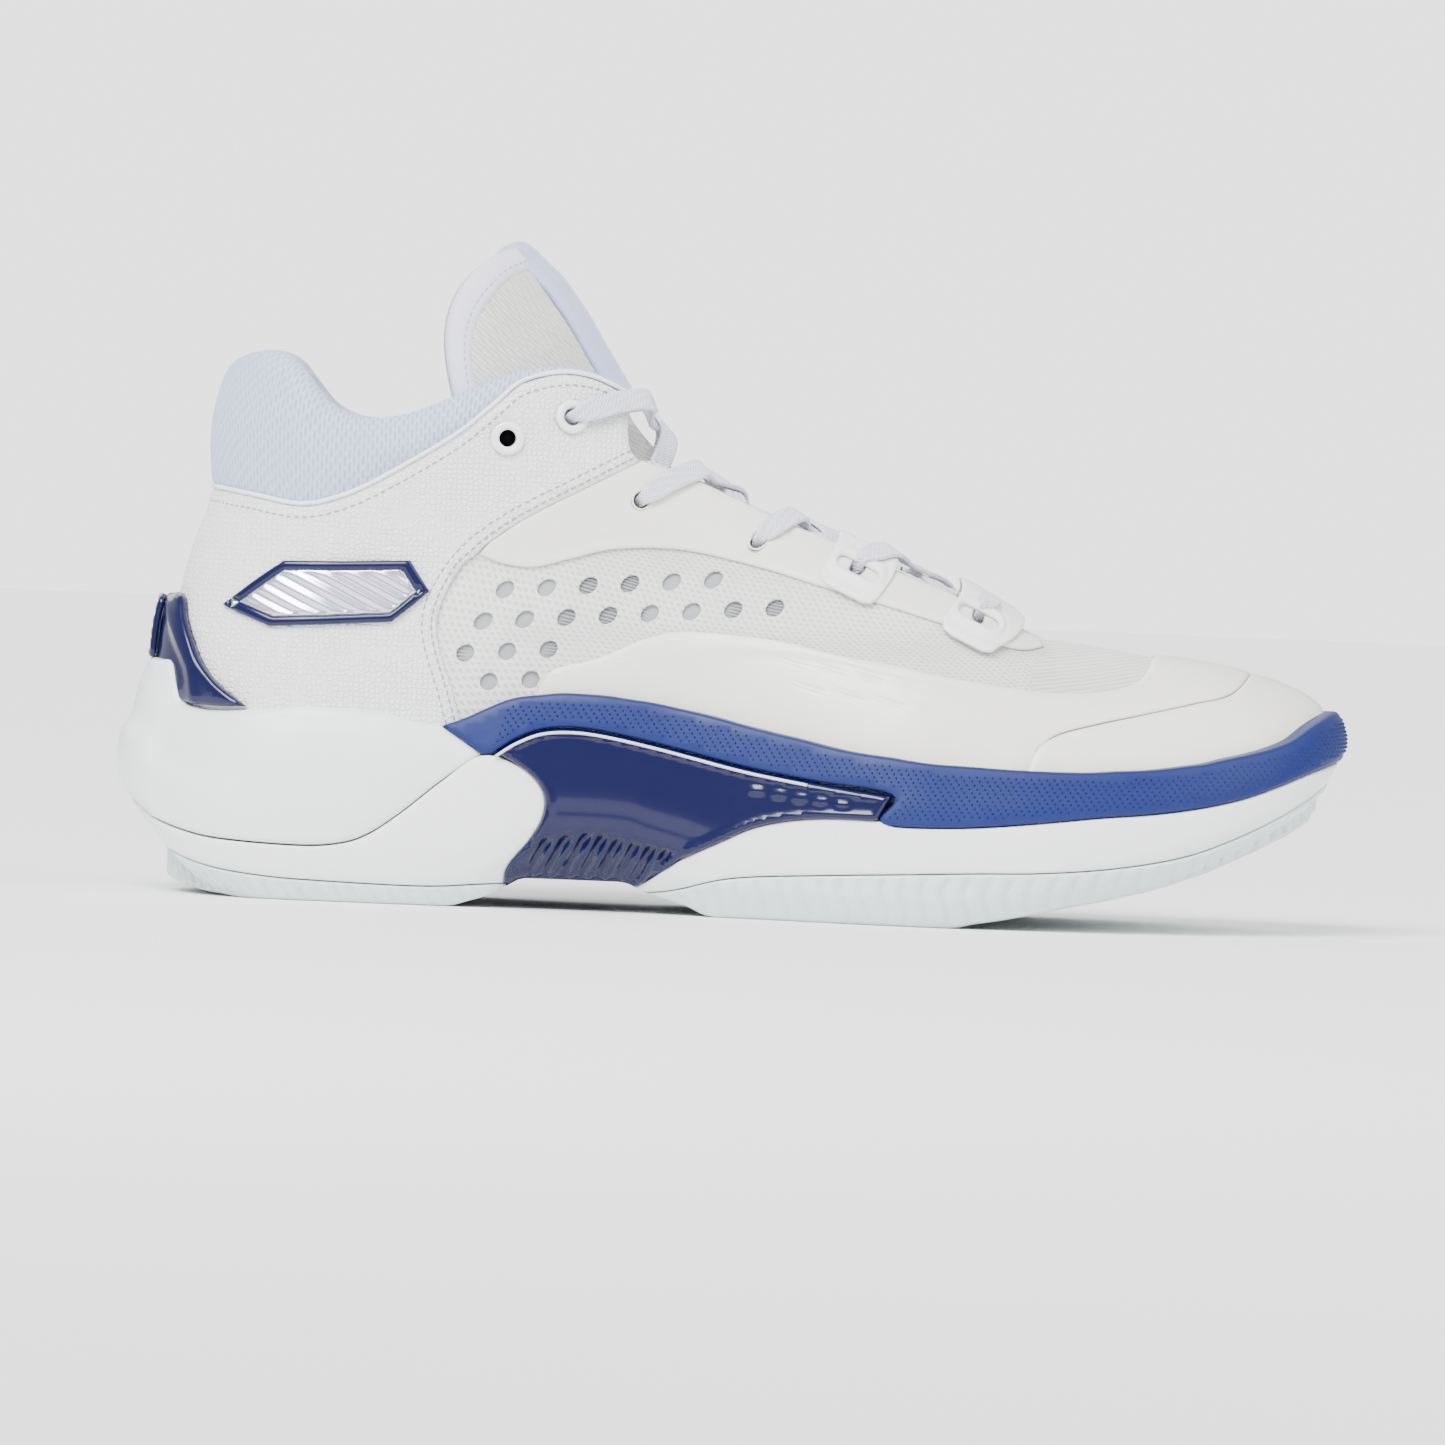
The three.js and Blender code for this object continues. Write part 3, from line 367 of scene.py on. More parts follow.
# ------------------------------------------------------------------ the sole
sole_top = smooth([
    (-HALF, 57), (-143.6, 56), (-142, 50), (-139, 46.8), (-132, 45.2), (-119, 45.8), (-100, 47.2),
    (-85, 46.3), (-71, 43.8), (-63, 47.2), (-49, 52), (-38, 52.9), (-26, 52.1), (-14, 50.3),
    (12, 44.8),
    (37, 40.8), (56, 39.4), (81, 38.9), (93, 39.5), (112, 41.4), (124, 43.9), (137, 47.4),
    (145, 52), (HALF, 55),
])
sole_bottom = smooth([
    (-HALF, 14), (-146, 10), (-140, 5.3), (-132, 2.1), (-124, 0.7), (-113, 0), (-72, 0), (-62, 1.8),
    (-54, 5.4), (-48, 7.6), (-27, 7.6), (-20, 5.2), (-10, 2.4), (-2, 0), (52, 0), (60, 1.3),
    (70, 3.2),
    (82, 5.9), (95, 8.9), (113, 14.4), (122, 18.2), (132, 22.8), (138, 26), (144, 30.6), (148, 36),
    (HALF, 42),
])
sole_side = smooth([
    (-150, 42), (-95, 42), (-60, 40.4), (-25, 39.5), (0, 42.4), (30, 50), (55, 54.2),
    (68, SOLE_WIDTH / 2),
])
wall_side = smooth([(0, 7), (0.08, 4), (0.2, 1), (0.36, 0), (0.6, 0.6), (0.8, 2), (1, 3.8)])
wall_back = smooth([
    (0, 13), (0.08, 7.5), (0.2, 2.4), (0.36, 0), (0.5, 0.2), (0.66, 3.2), (0.82, 4.6), (1, 6.6),
])


def sole_edge(turn, side):
    x = -HALF * np.cos(turn)
    heel = np.sqrt(np.maximum(0, 1 - (1 - np.clip((x + HALF) / 46, 0, 1)) ** 2.2))
    toe = np.sqrt(np.maximum(0, 1 - np.clip((x - 66) / (HALF - 66), 0, 1) ** 2.3))
    return np.stack([x, middle(x) + side * sole_side(x) * heel * toe], axis=1)


TANGENT_STEP = 1e-3


def edge_tangent(turn, side):
    """Directions along the sole's edge; the very ends take those just beside them."""
    turn = np.clip(turn, 2 * TANGENT_STEP, math.pi - 2 * TANGENT_STEP)
    tangent = sole_edge(turn + TANGENT_STEP, side) - sole_edge(turn - TANGENT_STEP, side)
    return unit(tangent)


EDGE_TURNS = np.linspace(0, math.pi, 2001)
_edge = sole_edge(EDGE_TURNS, MEDIAL)
_edge_length = run_lengths(_edge)
EDGE = _edge_length[-1]
HEEL_WALL_START, HEEL_WALL_BLEND = 105, 40


def heel_share(x):
    """How far the sole's wall has its heel's shape: 0 along the sides, 1 at the back."""
    return ease((-x - HEEL_WALL_START) / HEEL_WALL_BLEND)


class Wall:
    """The sole's side wall as a flat sheet: across is millimetres round the edge from the heel's
    back, or from the toe where from_toe is set, negative on the lateral side; up is height."""

    def __init__(self, from_toe=False, side=None):
        self.from_toe = from_toe
        self.side = side

    def flat(self, points, offset=0.0):
        x, height = np.array(points, float).T
        length = np.interp(x, _edge[:, 0], _edge_length)
        return np.stack([EDGE - length if self.from_toe else length, height], axis=1)

    def place(self, flat, offset):
        flat = np.asarray(flat, float)
        across = np.abs(flat[:, 0])
        length = np.clip(EDGE - across if self.from_toe else across, 0, EDGE)
        turn = np.interp(length, _edge_length, EDGE_TURNS)
        side = np.where(flat[:, 0] < 0, LATERAL, MEDIAL) if self.side is None else self.side
        p = sole_edge(turn, side)
        outward = turned(edge_tangent(turn, side)) * np.reshape(side, (-1, 1))
        low, top = sole_bottom(p[:, 0]), sole_top(p[:, 0]) + 2
        share = np.clip((flat[:, 1] - low) / (top - low), 0, 1)
        move = np.asarray(offset) - mix(wall_side(share), wall_back(share), heel_share(p[:, 0]))
        q = p + outward * np.reshape(move, (-1, 1))
        return np.column_stack([q, np.maximum(flat[:, 1], sole_bottom(q[:, 0]))])

    def cloth(self, flat):
        return flat


def tidy_loop(flat, step=1.2):
    """A closed loop with even points: doubled ones dropped, long gaps filled."""
    kept = [flat[0]]
    for p in flat[1:]:
        if np.linalg.norm(p - kept[-1]) > step * 0.4:
            kept.append(p)
    if np.linalg.norm(kept[0] - kept[-1]) < step * 0.4:
        kept.pop()
    out = []
    for a, b in zip(kept, kept[1:] + kept[:1]):
        count = int(np.linalg.norm(b - a) / (step * 1.4)) + 1
        out.extend(mix(a, b, k / count) for k in range(count))
    return np.array(out)


def cut(sheet, parts, offset=0.0, step=1.2):
    """The flat loop of a side-view outline."""
    return tidy_loop(sheet.flat(outline(parts, step), offset), step)


def flat_path(sheet, points, offset=0.0, step=1.2):
    return sheet.flat(spaced(spline(points), step), offset)


def both_sides(upper, lower, step=1.2):
    """A loop across the middle: both flat paths run from the far edge to across 0."""
    flip = np.array([-1, 1])
    return tidy_loop(np.vstack([upper * flip, upper[::-1], lower, (lower * flip)[::-1]]), step)


def round_hole(centre, radius, count=14):
    turn = np.linspace(0, math.tau, count, endpoint=False)
    return np.asarray(centre) + radius * np.stack([np.cos(turn), np.sin(turn)], axis=1)


# ------------------------------------------------------------------ meshes
def new_object(name, verts, faces, material=None, uv=None, smooth_shading=True):
    """A mesh object from points in millimetres; uv holds one (across, up) pair per vertex."""
    mesh = bpy.data.meshes.new(name)
    mesh.from_pydata((np.asarray(verts) / 1000).tolist(), [], [list(map(int, f)) for f in faces])
    if uv is not None:
        layer = mesh.uv_layers.new(name="cloth")
        loops = np.zeros(len(mesh.loops), int)
        mesh.loops.foreach_get("vertex_index", loops)
        layer.data.foreach_set("uv", np.asarray(uv)[loops].ravel())
    mesh.validate()
    if smooth_shading:
        mesh.shade_smooth()
    obj = bpy.data.objects.new(name, mesh)
    bpy.context.scene.collection.objects.link(obj)
    if material is not None:
        mesh.materials.append(material)
    return obj


def within(points, loop):
    """Which points lie inside a closed loop."""
    x, y = points[:, 0][:, None], points[:, 1][:, None]
    a, b = loop, np.roll(loop, -1, axis=0)
    crosses = (a[:, 1] > y) != (b[:, 1] > y)
    rise = np.where(b[:, 1] == a[:, 1], 1e-9, b[:, 1] - a[:, 1])
    meets = (b[:, 0] - a[:, 0]) * (y - a[:, 1]) / rise + a[:, 0]
    return (crosses & (x < meets)).sum(axis=1) % 2 == 1


def distance_to(points, loop, closed=True):
    """The distance from each point to a polyline."""
    a = loop if closed else loop[:-1]
    b = np.roll(loop, -1, axis=0) if closed else loop[1:]
    out = np.full(len(points), 1e9)
    span = b - a
    length = np.maximum((span**2).sum(axis=1), 1e-12)
    for start in range(0, len(points), 2000):
        p = points[start : start + 2000, None, :]
        t = np.clip(((p - a) * span).sum(axis=2) / length, 0, 1)
        near = a + t[..., None] * span
        out[start : start + 2000] = np.sqrt(((p - near) ** 2).sum(axis=2).min(axis=1))
    return out


def inset_loop(loop, by):
    """A closed loop moved inward; corners are mitred softly."""
    before, after = np.roll(loop, 1, axis=0), np.roll(loop, -1, axis=0)
    area = (loop[:, 0] * after[:, 1] - after[:, 0] * loop[:, 1]).sum()
    return loop + turned(unit(after - before)) * (by * np.sign(area))


def panel(
    name, sheet, loop, inner, outer, material, holes=(), step=2.0, rows=None, edge=0.6, relief=None,
):
    """A piece cut from a flat sheet and laid on its form, from offset inner to offset outer, with
    rounded edges. relief(flat points, depth from edge) adds to the outer offset."""
    rows = rows or step
    loops = [loop, *holes]
    low, high = loop.min(axis=0), loop.max(axis=0)
    across, up = np.arange(low[0], high[0] + step, step), np.arange(low[1], high[1] + rows, rows)
    grid = np.stack(np.meshgrid(across, up), axis=-1)
    grid[1::2, :, 0] += step / 2
    grid = grid.reshape(-1, 2)
    grid = grid[within(grid, loop)]
    for hole in holes:
        grid = grid[~within(grid, hole)]
    every = np.minimum.reduce([distance_to(grid, one) for one in loops])
    grid = grid[every > max(edge * 1.6, step * 0.45)]
    rounds = []
    for k, one in enumerate(loops):
        for share in (0.3, 1.0):
            moved = inset_loop(one, edge * share if k == 0 else -edge * share)
            near = np.minimum.reduce([distance_to(moved, other) for other in loops])
            ok = (near > edge * share * 0.9) & within(moved, loop)
            for hole in holes:
                ok &= ~within(moved, hole)
            rounds.append(moved[ok])
    points = np.vstack([*loops, *rounds, grid])
    edges, start = [], 0
    for one in loops:
        n = len(one)
        edges += [(start + i, start + (i + 1) % n) for i in range(n)]
        start += n
    got = delaunay_2d_cdt([Vector(p) for p in points], edges, [list(range(len(loop)))], 1, 1e-5)
    flat = np.array([tuple(v) for v in got[0]])
    faces = np.array([f for f in got[2] if len(f) == 3])
    middle_of = flat[faces].mean(axis=1)
    keep = within(middle_of, loop)
    for hole in holes:
        keep &= ~within(middle_of, hole)
    faces = faces[keep]
    used = np.unique(faces)
    number = np.full(len(flat), -1)
    number[used] = np.arange(len(used))
    flat, faces = flat[used], number[faces]
    depth = np.minimum.reduce([distance_to(flat, one) for one in loops])
    fall = edge * (1 - np.sqrt(np.maximum(0, 1 - (1 - np.minimum(depth / edge, 1)) ** 2)))
    top = outer - fall
    if relief is not None:
        top = top + relief(flat, depth)
    count = len(flat)
    verts = np.vstack([sheet.place(flat, top), sheet.place(flat, np.full(count, inner))])
    cloth = sheet.cloth(flat)
    sides = set()
    seen = {}
    for a, b, c in faces:
        for e in ((a, b), (b, c), (c, a)):
            key = (min(e), max(e))
            seen[key] = seen.get(key, 0) + 1
            sides.add((int(e[0]), int(e[1])))
    rim = [(a, b) for a, b in sides if seen[(min(a, b), max(a, b))] == 1]
    skirt = [(b, a, a + count, b + count) for a, b in rim]
    all_faces = [
        *map(tuple, faces), *skirt, *[(c + count, b + count, a + count) for a, b, c in faces],
    ]
    obj = new_object(name, verts, all_faces, material, np.vstack([cloth, cloth]))
    face_outward(obj)
    return obj


def face_outward(obj):
    """Turns the faces outward if the closed mesh came out inside out."""
    mesh = obj.data
    co = np.zeros(len(mesh.vertices) * 3)
    mesh.vertices.foreach_get("co", co)
    co = co.reshape(-1, 3) * 1000
    mesh.calc_loop_triangles()
    tris = np.zeros(len(mesh.loop_triangles) * 3, int)
    mesh.loop_triangles.foreach_get("vertices", tris)
    a, b, c = co[tris.reshape(-1, 3)].transpose(1, 0, 2)
    centre = co.mean(axis=0)
    if np.einsum("ij,ij->i", a - centre, np.cross(b - centre, c - centre)).sum() < 0:
        mesh.flip_normals()


def join(name, objects):
    """Joins objects into one piece that rides on the shoe."""
    first = objects[0]
    if len(objects) > 1:
        with bpy.context.temp_override(
            active_object=first, selected_editable_objects=objects, selected_objects=objects,
        ):
            bpy.ops.object.join()
    first.name = name
    first.data.name = name
    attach(first, SHOE)
    return first


def tube_grid(rings, caps=True):
    """Vertices and faces of a body through closed rings of equal size."""
    rings = np.asarray(rings)
    count, size = rings.shape[:2]
    verts = rings.reshape(-1, 3)
    faces = []
    for r in range(count - 1):
        for i in range(size):
            j = (i + 1) % size
            faces.append((r * size + i, r * size + j, (r + 1) * size + j, (r + 1) * size + i))
    if caps:
        faces.append(tuple(range(size))[::-1])
        faces.append(tuple((count - 1) * size + i for i in range(size)))
    return verts, faces


def slab_faces(count, width):
    """Faces of a closed slab between two grids of count by width points, the lower grid first."""
    top = count * width
    faces = []
    for r in range(count - 1):
        for i in range(width - 1):
            a, b = r * width + i, (r + 1) * width + i
            faces.append((a, a + 1, b + 1, b))
            faces.append((top + a, top + b, top + b + 1, top + a + 1))
        for i, order in ((0, 1), (width - 1, -1)):
            a, b = r * width + i, (r + 1) * width + i
            faces.append((a, b, top + b, top + a)[::order])
    for r, order in ((0, -1), (count - 1, 1)):
        for i in range(width - 1):
            a = r * width + i
            faces.append((a, a + 1, top + a + 1, top + a)[::order])
    return faces


THREAD_SIDES = 6
# Rings of one stitch: share of its length, share of its radius, rise in radii.
THREAD_RINGS = ((0, 0.35, -0.3), (0.2, 0.9, 0), (0.5, 1, 0.12), (0.8, 0.9, 0), (1, 0.35, -0.3))


def stitches(name, lines, material, pitch=2.2, length=1.5, radius=0.24):
    """A row of thread stitches along each line; a line is (points, outward normals)."""
    verts, faces = [], []
    turns = np.linspace(0, 2 * math.pi, THREAD_SIDES, endpoint=False)
    for points, normals in lines:
        lengths = run_lengths(points)
        at = np.arange(pitch / 2, lengths[-1] - pitch / 2, pitch)
        starts, ends = [along_run(at + half, lengths, points) for half in (-length / 2, length / 2)]
        for start, end, up in zip(starts, ends, along_run(at, lengths, normals)):
            along = (end - start) / np.linalg.norm(end - start)
            up = up - along * up.dot(along)
            up /= np.linalg.norm(up)
            side = np.cross(along, up)
            rings = []
            for share, size, rise in THREAD_RINGS:
                centre, wide = mix(start, end, share) + up * rise * radius, radius * size
                rings.append([centre + wide * (np.cos(t) * side + np.sin(t) * up) for t in turns])
            base = len(verts)
            stitch, stitch_faces = tube_grid(rings)
            verts.extend(stitch)
            faces.extend(tuple(base + i for i in face) for face in stitch_faces)
    return new_object(name, np.array(verts), faces, material)


def seam_line(points, side, offset, step=1.0):
    """A line on the skin for stitches: places and normals along side-view points."""
    line = spaced(spline(points), step)
    low, high = on_skin(line, side, offset), on_skin(line, side, offset + 1)
    return low, high - low


# ------------------------------------------------------------------ shading helpers
def calc(tree, operation, *values):
    """A math node; each value is a socket or a number."""
    node = tree.nodes.new("ShaderNodeMath")
    node.operation = operation
    for i, value in enumerate(values):
        if isinstance(value, (int, float)):
            node.inputs[i].default_value = value
        else:
            tree.links.new(value, node.inputs[i])
    return node.outputs[0]


def ramp(tree, value, low, high, to_low=0.0, to_high=1.0):
    """Maps low..high smoothly to to_low..to_high."""
    node = tree.nodes.new("ShaderNodeMapRange")
    node.interpolation_type = "SMOOTHSTEP"
    tree.links.new(value, node.inputs["Value"])
    for name, number in (
        ("From Min", low), ("From Max", high), ("To Min", to_low), ("To Max", to_high),
    ):
        node.inputs[name].default_value = number
    return node.outputs["Result"]


def blend_colours(tree, share, a, b):
    """A colour mix; a and b are colours or sockets."""
    node = tree.nodes.new("ShaderNodeMix")
    node.data_type = "RGBA"
    tree.links.new(share, node.inputs["Factor"])
    for socket, value in ((node.inputs[6], a), (node.inputs[7], b)):
        if isinstance(value, (tuple, list)):
            socket.default_value = (*value[:3], 1)
        else:
            tree.links.new(value, socket)
    return node.outputs[2]


def effect(name, inputs, outputs, build):
    """A shader node group with named sockets, built once."""
    group = bpy.data.node_groups.get(name)
    if group:
        return group
    group = bpy.data.node_groups.new(name, "ShaderNodeTree")
    for label, kind, value in inputs:
        socket = group.interface.new_socket(name=label, in_out="INPUT", socket_type=kind)
        if value is not None:
            socket.default_value = value
    for label, kind in outputs:
        group.interface.new_socket(name=label, in_out="OUTPUT", socket_type=kind)
    start = group.nodes.new("NodeGroupInput")
    end = group.nodes.new("NodeGroupOutput")
    for label, socket in build(group, start.outputs).items():
        group.links.new(socket, end.inputs[label])
    return group


def separate(tree, vector):
    node = tree.nodes.new("ShaderNodeSeparateXYZ")
    tree.links.new(vector, node.inputs[0])
    return node.outputs[0], node.outputs[1], node.outputs[2]


def build_weave(tree, sockets):
    """Threads over and under each other: across and up are millimetres on the cloth."""
    u, v, _ = separate(tree, sockets["Cloth"])
    turn = calc(tree, "DIVIDE", math.tau, sockets["Pitch"])
    a = calc(tree, "SINE", calc(tree, "MULTIPLY", u, turn))
    b = calc(tree, "SINE", calc(tree, "MULTIPLY", v, turn))
    both = calc(tree, "MULTIPLY", a, b)
    height = calc(tree, "MULTIPLY_ADD", both, 0.5, 0.5)
    return {"Height": height, "Thread": ramp(tree, both, -0.4, 0.4)}


def build_grid(tree, sockets):
    """Raised lines both ways, slanted by Slant, every Spacing millimetres."""
    u, v, _ = separate(tree, sockets["Cloth"])
    leaned = calc(tree, "ADD", u, calc(tree, "MULTIPLY", v, sockets["Slant"]))
    level = calc(tree, "SUBTRACT", v, calc(tree, "MULTIPLY", u, sockets["Rise"]))
    lines = []
    for along, spacing in ((leaned, sockets["Spacing"]), (level, sockets["Row spacing"])):
        part = calc(tree, "FRACT", calc(tree, "DIVIDE", along, spacing))
        lines.append(ramp(
            tree, calc(tree, "ABSOLUTE", calc(tree, "SUBTRACT", part, 0.5)), 0.16, 0.34, 1, 0,
        ))
    return {"Lines": calc(tree, "MAXIMUM", *lines), "Rows": lines[1]}


def build_slits(tree, sockets):
    """Short upright slits in staggered columns."""
    u, v, _ = separate(tree, sockets["Cloth"])
    across = calc(tree, "DIVIDE", u, sockets["Spacing"])
    shift = calc(tree, "MULTIPLY", calc(tree, "FLOOR", across), 0.37)
    along = calc(tree, "ADD", calc(tree, "DIVIDE", v, sockets["Length"]), shift)
    near = []
    for value, low, high in ((across, 0.12, 0.3), (along, 0.2, 0.42)):
        middle_way = calc(tree, "ABSOLUTE", calc(tree, "SUBTRACT", calc(tree, "FRACT", value), 0.5))
        near.append(ramp(tree, middle_way, low, high, 1, 0))
    return {"Slit": calc(tree, "MULTIPLY", *near)}


def build_scales(tree, sockets):
    """A fine emboss of rounded scales with grooves between them."""
    cells = tree.nodes.new("ShaderNodeTexVoronoi")
    cells.feature = "DISTANCE_TO_EDGE"
    tree.links.new(sockets["Vector"], cells.inputs["Vector"])
    tree.links.new(sockets["Scale"], cells.inputs["Scale"])
    cells.inputs["Randomness"].default_value = 0.55
    height = ramp(tree, cells.outputs["Distance"], 0.0, 0.28)
    return {"Height": height, "Groove": ramp(tree, cells.outputs["Distance"], 0.02, 0.12, 1, 0)}


def build_mottle(tree, sockets):
    """Slow and fine unevenness of a surface."""
    out = {}
    for label, factor, detail in (("Slow", 1.0, 3.0), ("Fine", 22.0, 2.0)):
        noise = tree.nodes.new("ShaderNodeTexNoise")
        tree.links.new(sockets["Vector"], noise.inputs["Vector"])
        tree.links.new(calc(tree, "MULTIPLY", sockets["Scale"], factor), noise.inputs["Scale"])
        noise.inputs["Detail"].default_value = detail
        out[label] = noise.outputs["Fac"]
    return out


def build_dust(tree, sockets):
    """A soft mask low on the object, where handling leaves dust."""
    noise = tree.nodes.new("ShaderNodeTexNoise")
    tree.links.new(sockets["Vector"], noise.inputs["Vector"])
    noise.inputs["Scale"].default_value = 60.0
    noise.inputs["Detail"].default_value = 4.0
    _, _, z = separate(tree, sockets["Vector"])
    low = ramp(tree, z, 0.0, 0.05, 1, 0.15)
    return {"Dust": calc(
        tree, "MULTIPLY", calc(tree, "MULTIPLY", low, noise.outputs["Fac"]), sockets["Amount"],
    )}


VECTOR, NUMBER = "NodeSocketVector", "NodeSocketFloat"


def shared_effects():
    cloth = ("Cloth", VECTOR, None)
    place = ("Vector", VECTOR, None)
    return {
        "weave": effect(
            "Woven threads", [cloth, ("Pitch", NUMBER, 0.8)],
            [("Height", NUMBER), ("Thread", NUMBER)], build_weave,
        ),
        "grid": effect(
            "Ripstop grid",
            [
                cloth, ("Spacing", NUMBER, 2.0), ("Row spacing", NUMBER, 2.0),
                ("Slant", NUMBER, 0.0), ("Rise", NUMBER, 0.0),
            ],
            [("Lines", NUMBER), ("Rows", NUMBER)], build_grid),
        "slits": effect(
            "Knit slits", [
                cloth, ("Spacing", NUMBER, 1.0), ("Length", NUMBER, 3.2),
            ], [("Slit", NUMBER)], build_slits),
        "scales": effect(
            "Scale emboss", [place, ("Scale", NUMBER, 900.0)],
            [("Height", NUMBER), ("Groove", NUMBER)], build_scales,
        ),
        "mottle": effect(
            "Mottling", [place, ("Scale", NUMBER, 30.0)], [("Slow", NUMBER), ("Fine", NUMBER)],
            build_mottle,
        ),
        "dust": effect(
            "Handling dust", [place, ("Amount", NUMBER, 0.1)], [("Dust", NUMBER)], build_dust,
        ),
    }


SUBSURFACE_RADIUS = (0.004, 0.004, 0.0045)
DUST_COLOUR = (0.45, 0.43, 0.40)


class Finish:
    """One material: a Principled BSDF, the shared effects placed in it, and its bump chain."""

    def __init__(
        self, name, colour, roughness, coat=0.0, coat_roughness=0.1, sheen=0.0, metallic=0.0,
        specular=0.5, subsurface=0.0,
    ):
        self.material = bpy.data.materials.new(name)
        self.material.use_nodes = True
        self.tree = self.material.node_tree
        self.shader = self.tree.nodes["Principled BSDF"]
        self.colour = colour
        for label, value in (
            ("Base Color", (*colour, 1)), ("Roughness", roughness), ("Coat Weight", coat), (
                "Coat Roughness", coat_roughness,
            ),
            ("Sheen Weight", sheen), ("Metallic", metallic), ("Specular IOR Level", specular), (
                "Subsurface Weight", subsurface,
            ),
        ):
            self.shader.inputs[label].default_value = value
        self.shader.inputs["Subsurface Radius"].default_value = SUBSURFACE_RADIUS
        self.shader.inputs["Subsurface Scale"].default_value = 1.0
        self.material.diffuse_color = (*colour, 1)
        self.place = self.tree.nodes.new("ShaderNodeTexCoord").outputs["Object"]
        uv = self.tree.nodes.new("ShaderNodeUVMap")
        uv.uv_map = "cloth"
        self.cloth = uv.outputs["UV"]
        self.normal = None
        self.shade = None

    def use(self, key, **values):
        node = self.tree.nodes.new("ShaderNodeGroup")
        node.node_tree = shared_effects()[key]
        if "Cloth" in node.inputs:
            self.tree.links.new(self.cloth, node.inputs["Cloth"])
        if "Vector" in node.inputs:
            self.tree.links.new(self.place, node.inputs["Vector"])
        for label, value in values.items():
            node.inputs[label.replace("_", " ")].default_value = value
        return node.outputs

    def bump(self, height, millimetres):
        """Adds a bump of this depth to the chain."""
        node = self.tree.nodes.new("ShaderNodeBump")
        node.inputs["Strength"].default_value = 1.0
        node.inputs["Distance"].default_value = millimetres / 1000
        self.tree.links.new(height, node.inputs["Height"])
        if self.normal is not None:
            self.tree.links.new(self.normal, node.inputs["Normal"])
        self.normal = node.outputs["Normal"]
        self.tree.links.new(self.normal, self.shader.inputs["Normal"])

    def tint(self, share, colour):
        self.shade = blend_colours(self.tree, share, self.shade or self.colour, colour)
        self.tree.links.new(self.shade, self.shader.inputs["Base Color"])

    def rough(self, value, low, high):
        self.tree.links.new(
            ramp(self.tree, value, 0.25, 0.75, low, high), self.shader.inputs["Roughness"],
        )


def darker(colour, by):
    return tuple(c * by for c in colour)


def moulded(name, colour, roughness, grain=0.02, dust=0.06, **more):
    """Moulded foam, rubber, film or plastic: slight mottling, fine grain and dust low down."""
    made = Finish(name, colour, roughness, **more)
    mottle = made.use("mottle", Scale=28.0)
    made.tint(ramp(made.tree, mottle["Slow"], 0.3, 0.7, 0, 0.5), darker(colour, 0.955))
    made.rough(mottle["Slow"], roughness * 0.85, min(1, roughness * 1.2))
    if dust:
        made.tint(made.use("dust", Amount=dust)["Dust"], DUST_COLOUR)
    made.bump(mottle["Fine"], grain)
    return made


def woven(name, colour, pitch, depth, dark=0.8, sheen=0.25, roughness=0.85, **more):
    """A plain woven cloth, the low half of its weave darkened as painted shade."""
    made = Finish(name, colour, roughness, sheen=sheen, **more)
    weave = made.use("weave", Pitch=pitch)
    mottle = made.use("mottle", Scale=35.0)
    # Painted shade: the low half of the weave gets a darker copy of the cloth's colour.
    made.tint(ramp(made.tree, weave["Height"], 0.5, 0.0, 0, 0.8), darker(colour, dark))
    made.tint(ramp(made.tree, mottle["Slow"], 0.3, 0.75, 0, 0.35), darker(colour, 0.93))
    made.bump(weave["Height"], depth)
    return made


# ------------------------------------------------------------------ depths and drawn lines
GAP = 0.3
QUARTER_THICK, OVERLAY_THICK, MESH_THICK = 1.6, 0.8, 0.7
OVERLAY = (GAP, GAP + OVERLAY_THICK)
QUARTER = (GAP, GAP + QUARTER_THICK)
MESH = (-MESH_THICK, 0.0)
BACKING = (-1.5, -1.0)
COUNTER = (-1.2, 0.0)
LINING = (-3.2, -1.8)
TONGUE_DEPTH = (-11.7, -6.8)
ON_QUARTER = QUARTER[1] + GAP
ON_OVERLAY = OVERLAY[1] + GAP
CLIP = (ON_QUARTER, ON_QUARTER + 2.4)

COLLAR_LINE = [
    (-131, 99.4), (-120, 97.8), (-108, 96), (-99, 97.8), (-89, 102.5), (-71, 113.8), (-61, 122.4),
    (-55, 127.8),
]
QUARTER_TOP = [(-55, 127.8), (-46, 130.4), (-38, 129.8), (-31, 127), (-28.4, 125.2)]
QUARTER_THROAT = [(-28.4, 125.2), (-28.2, 117), (-27.4, 112.6), (-25, 110)]
SEAM = [
    (-25, 110), (-37, 103.5), (-52, 95.2), (-61, 88.8), (-64, 86), (-68, 82.2), (-72, 74),
    (-73, 68),
    (-72, 62), (-69, 53.5), (-66, 44), (-62, 33),
]
THROAT = [
    (-25, 110), (-15, 107.2), (0, 101), (13, 95.6), (21, 92.8), (36, 86.4), (50, 81.4), (64, 74.8),
    (74, 70.6),
]
EYESTAY_LOW = [
    (75, 69.2), (70, 68.2), (63, 69.4), (50, 73.6), (30, 79), (19, 81.7), (4, 85.6), (-14, 88.8),
    (-30, 88.4), (-41, 85.6), (-50, 83.2), (-58, 83.8), (-64, 86),
]
FILM_TOP = [
    (-49, 50), (-45, 58), (-34, 61.6), (-22, 67), (-12, 69), (8, 68), (24, 65), (38, 63),
    (50, 60.8),
    (61, 59.4), (74, 58), (86, 58.2), (94, 59.8), (99, 62.4), (103, 70),
]
CAP_TOP = [
    (70, 36), (73, 43.6), (78, 47.6), (87, 50.4), (99, 53.3), (111, 56.2), (121, 59), (128, 66),
]
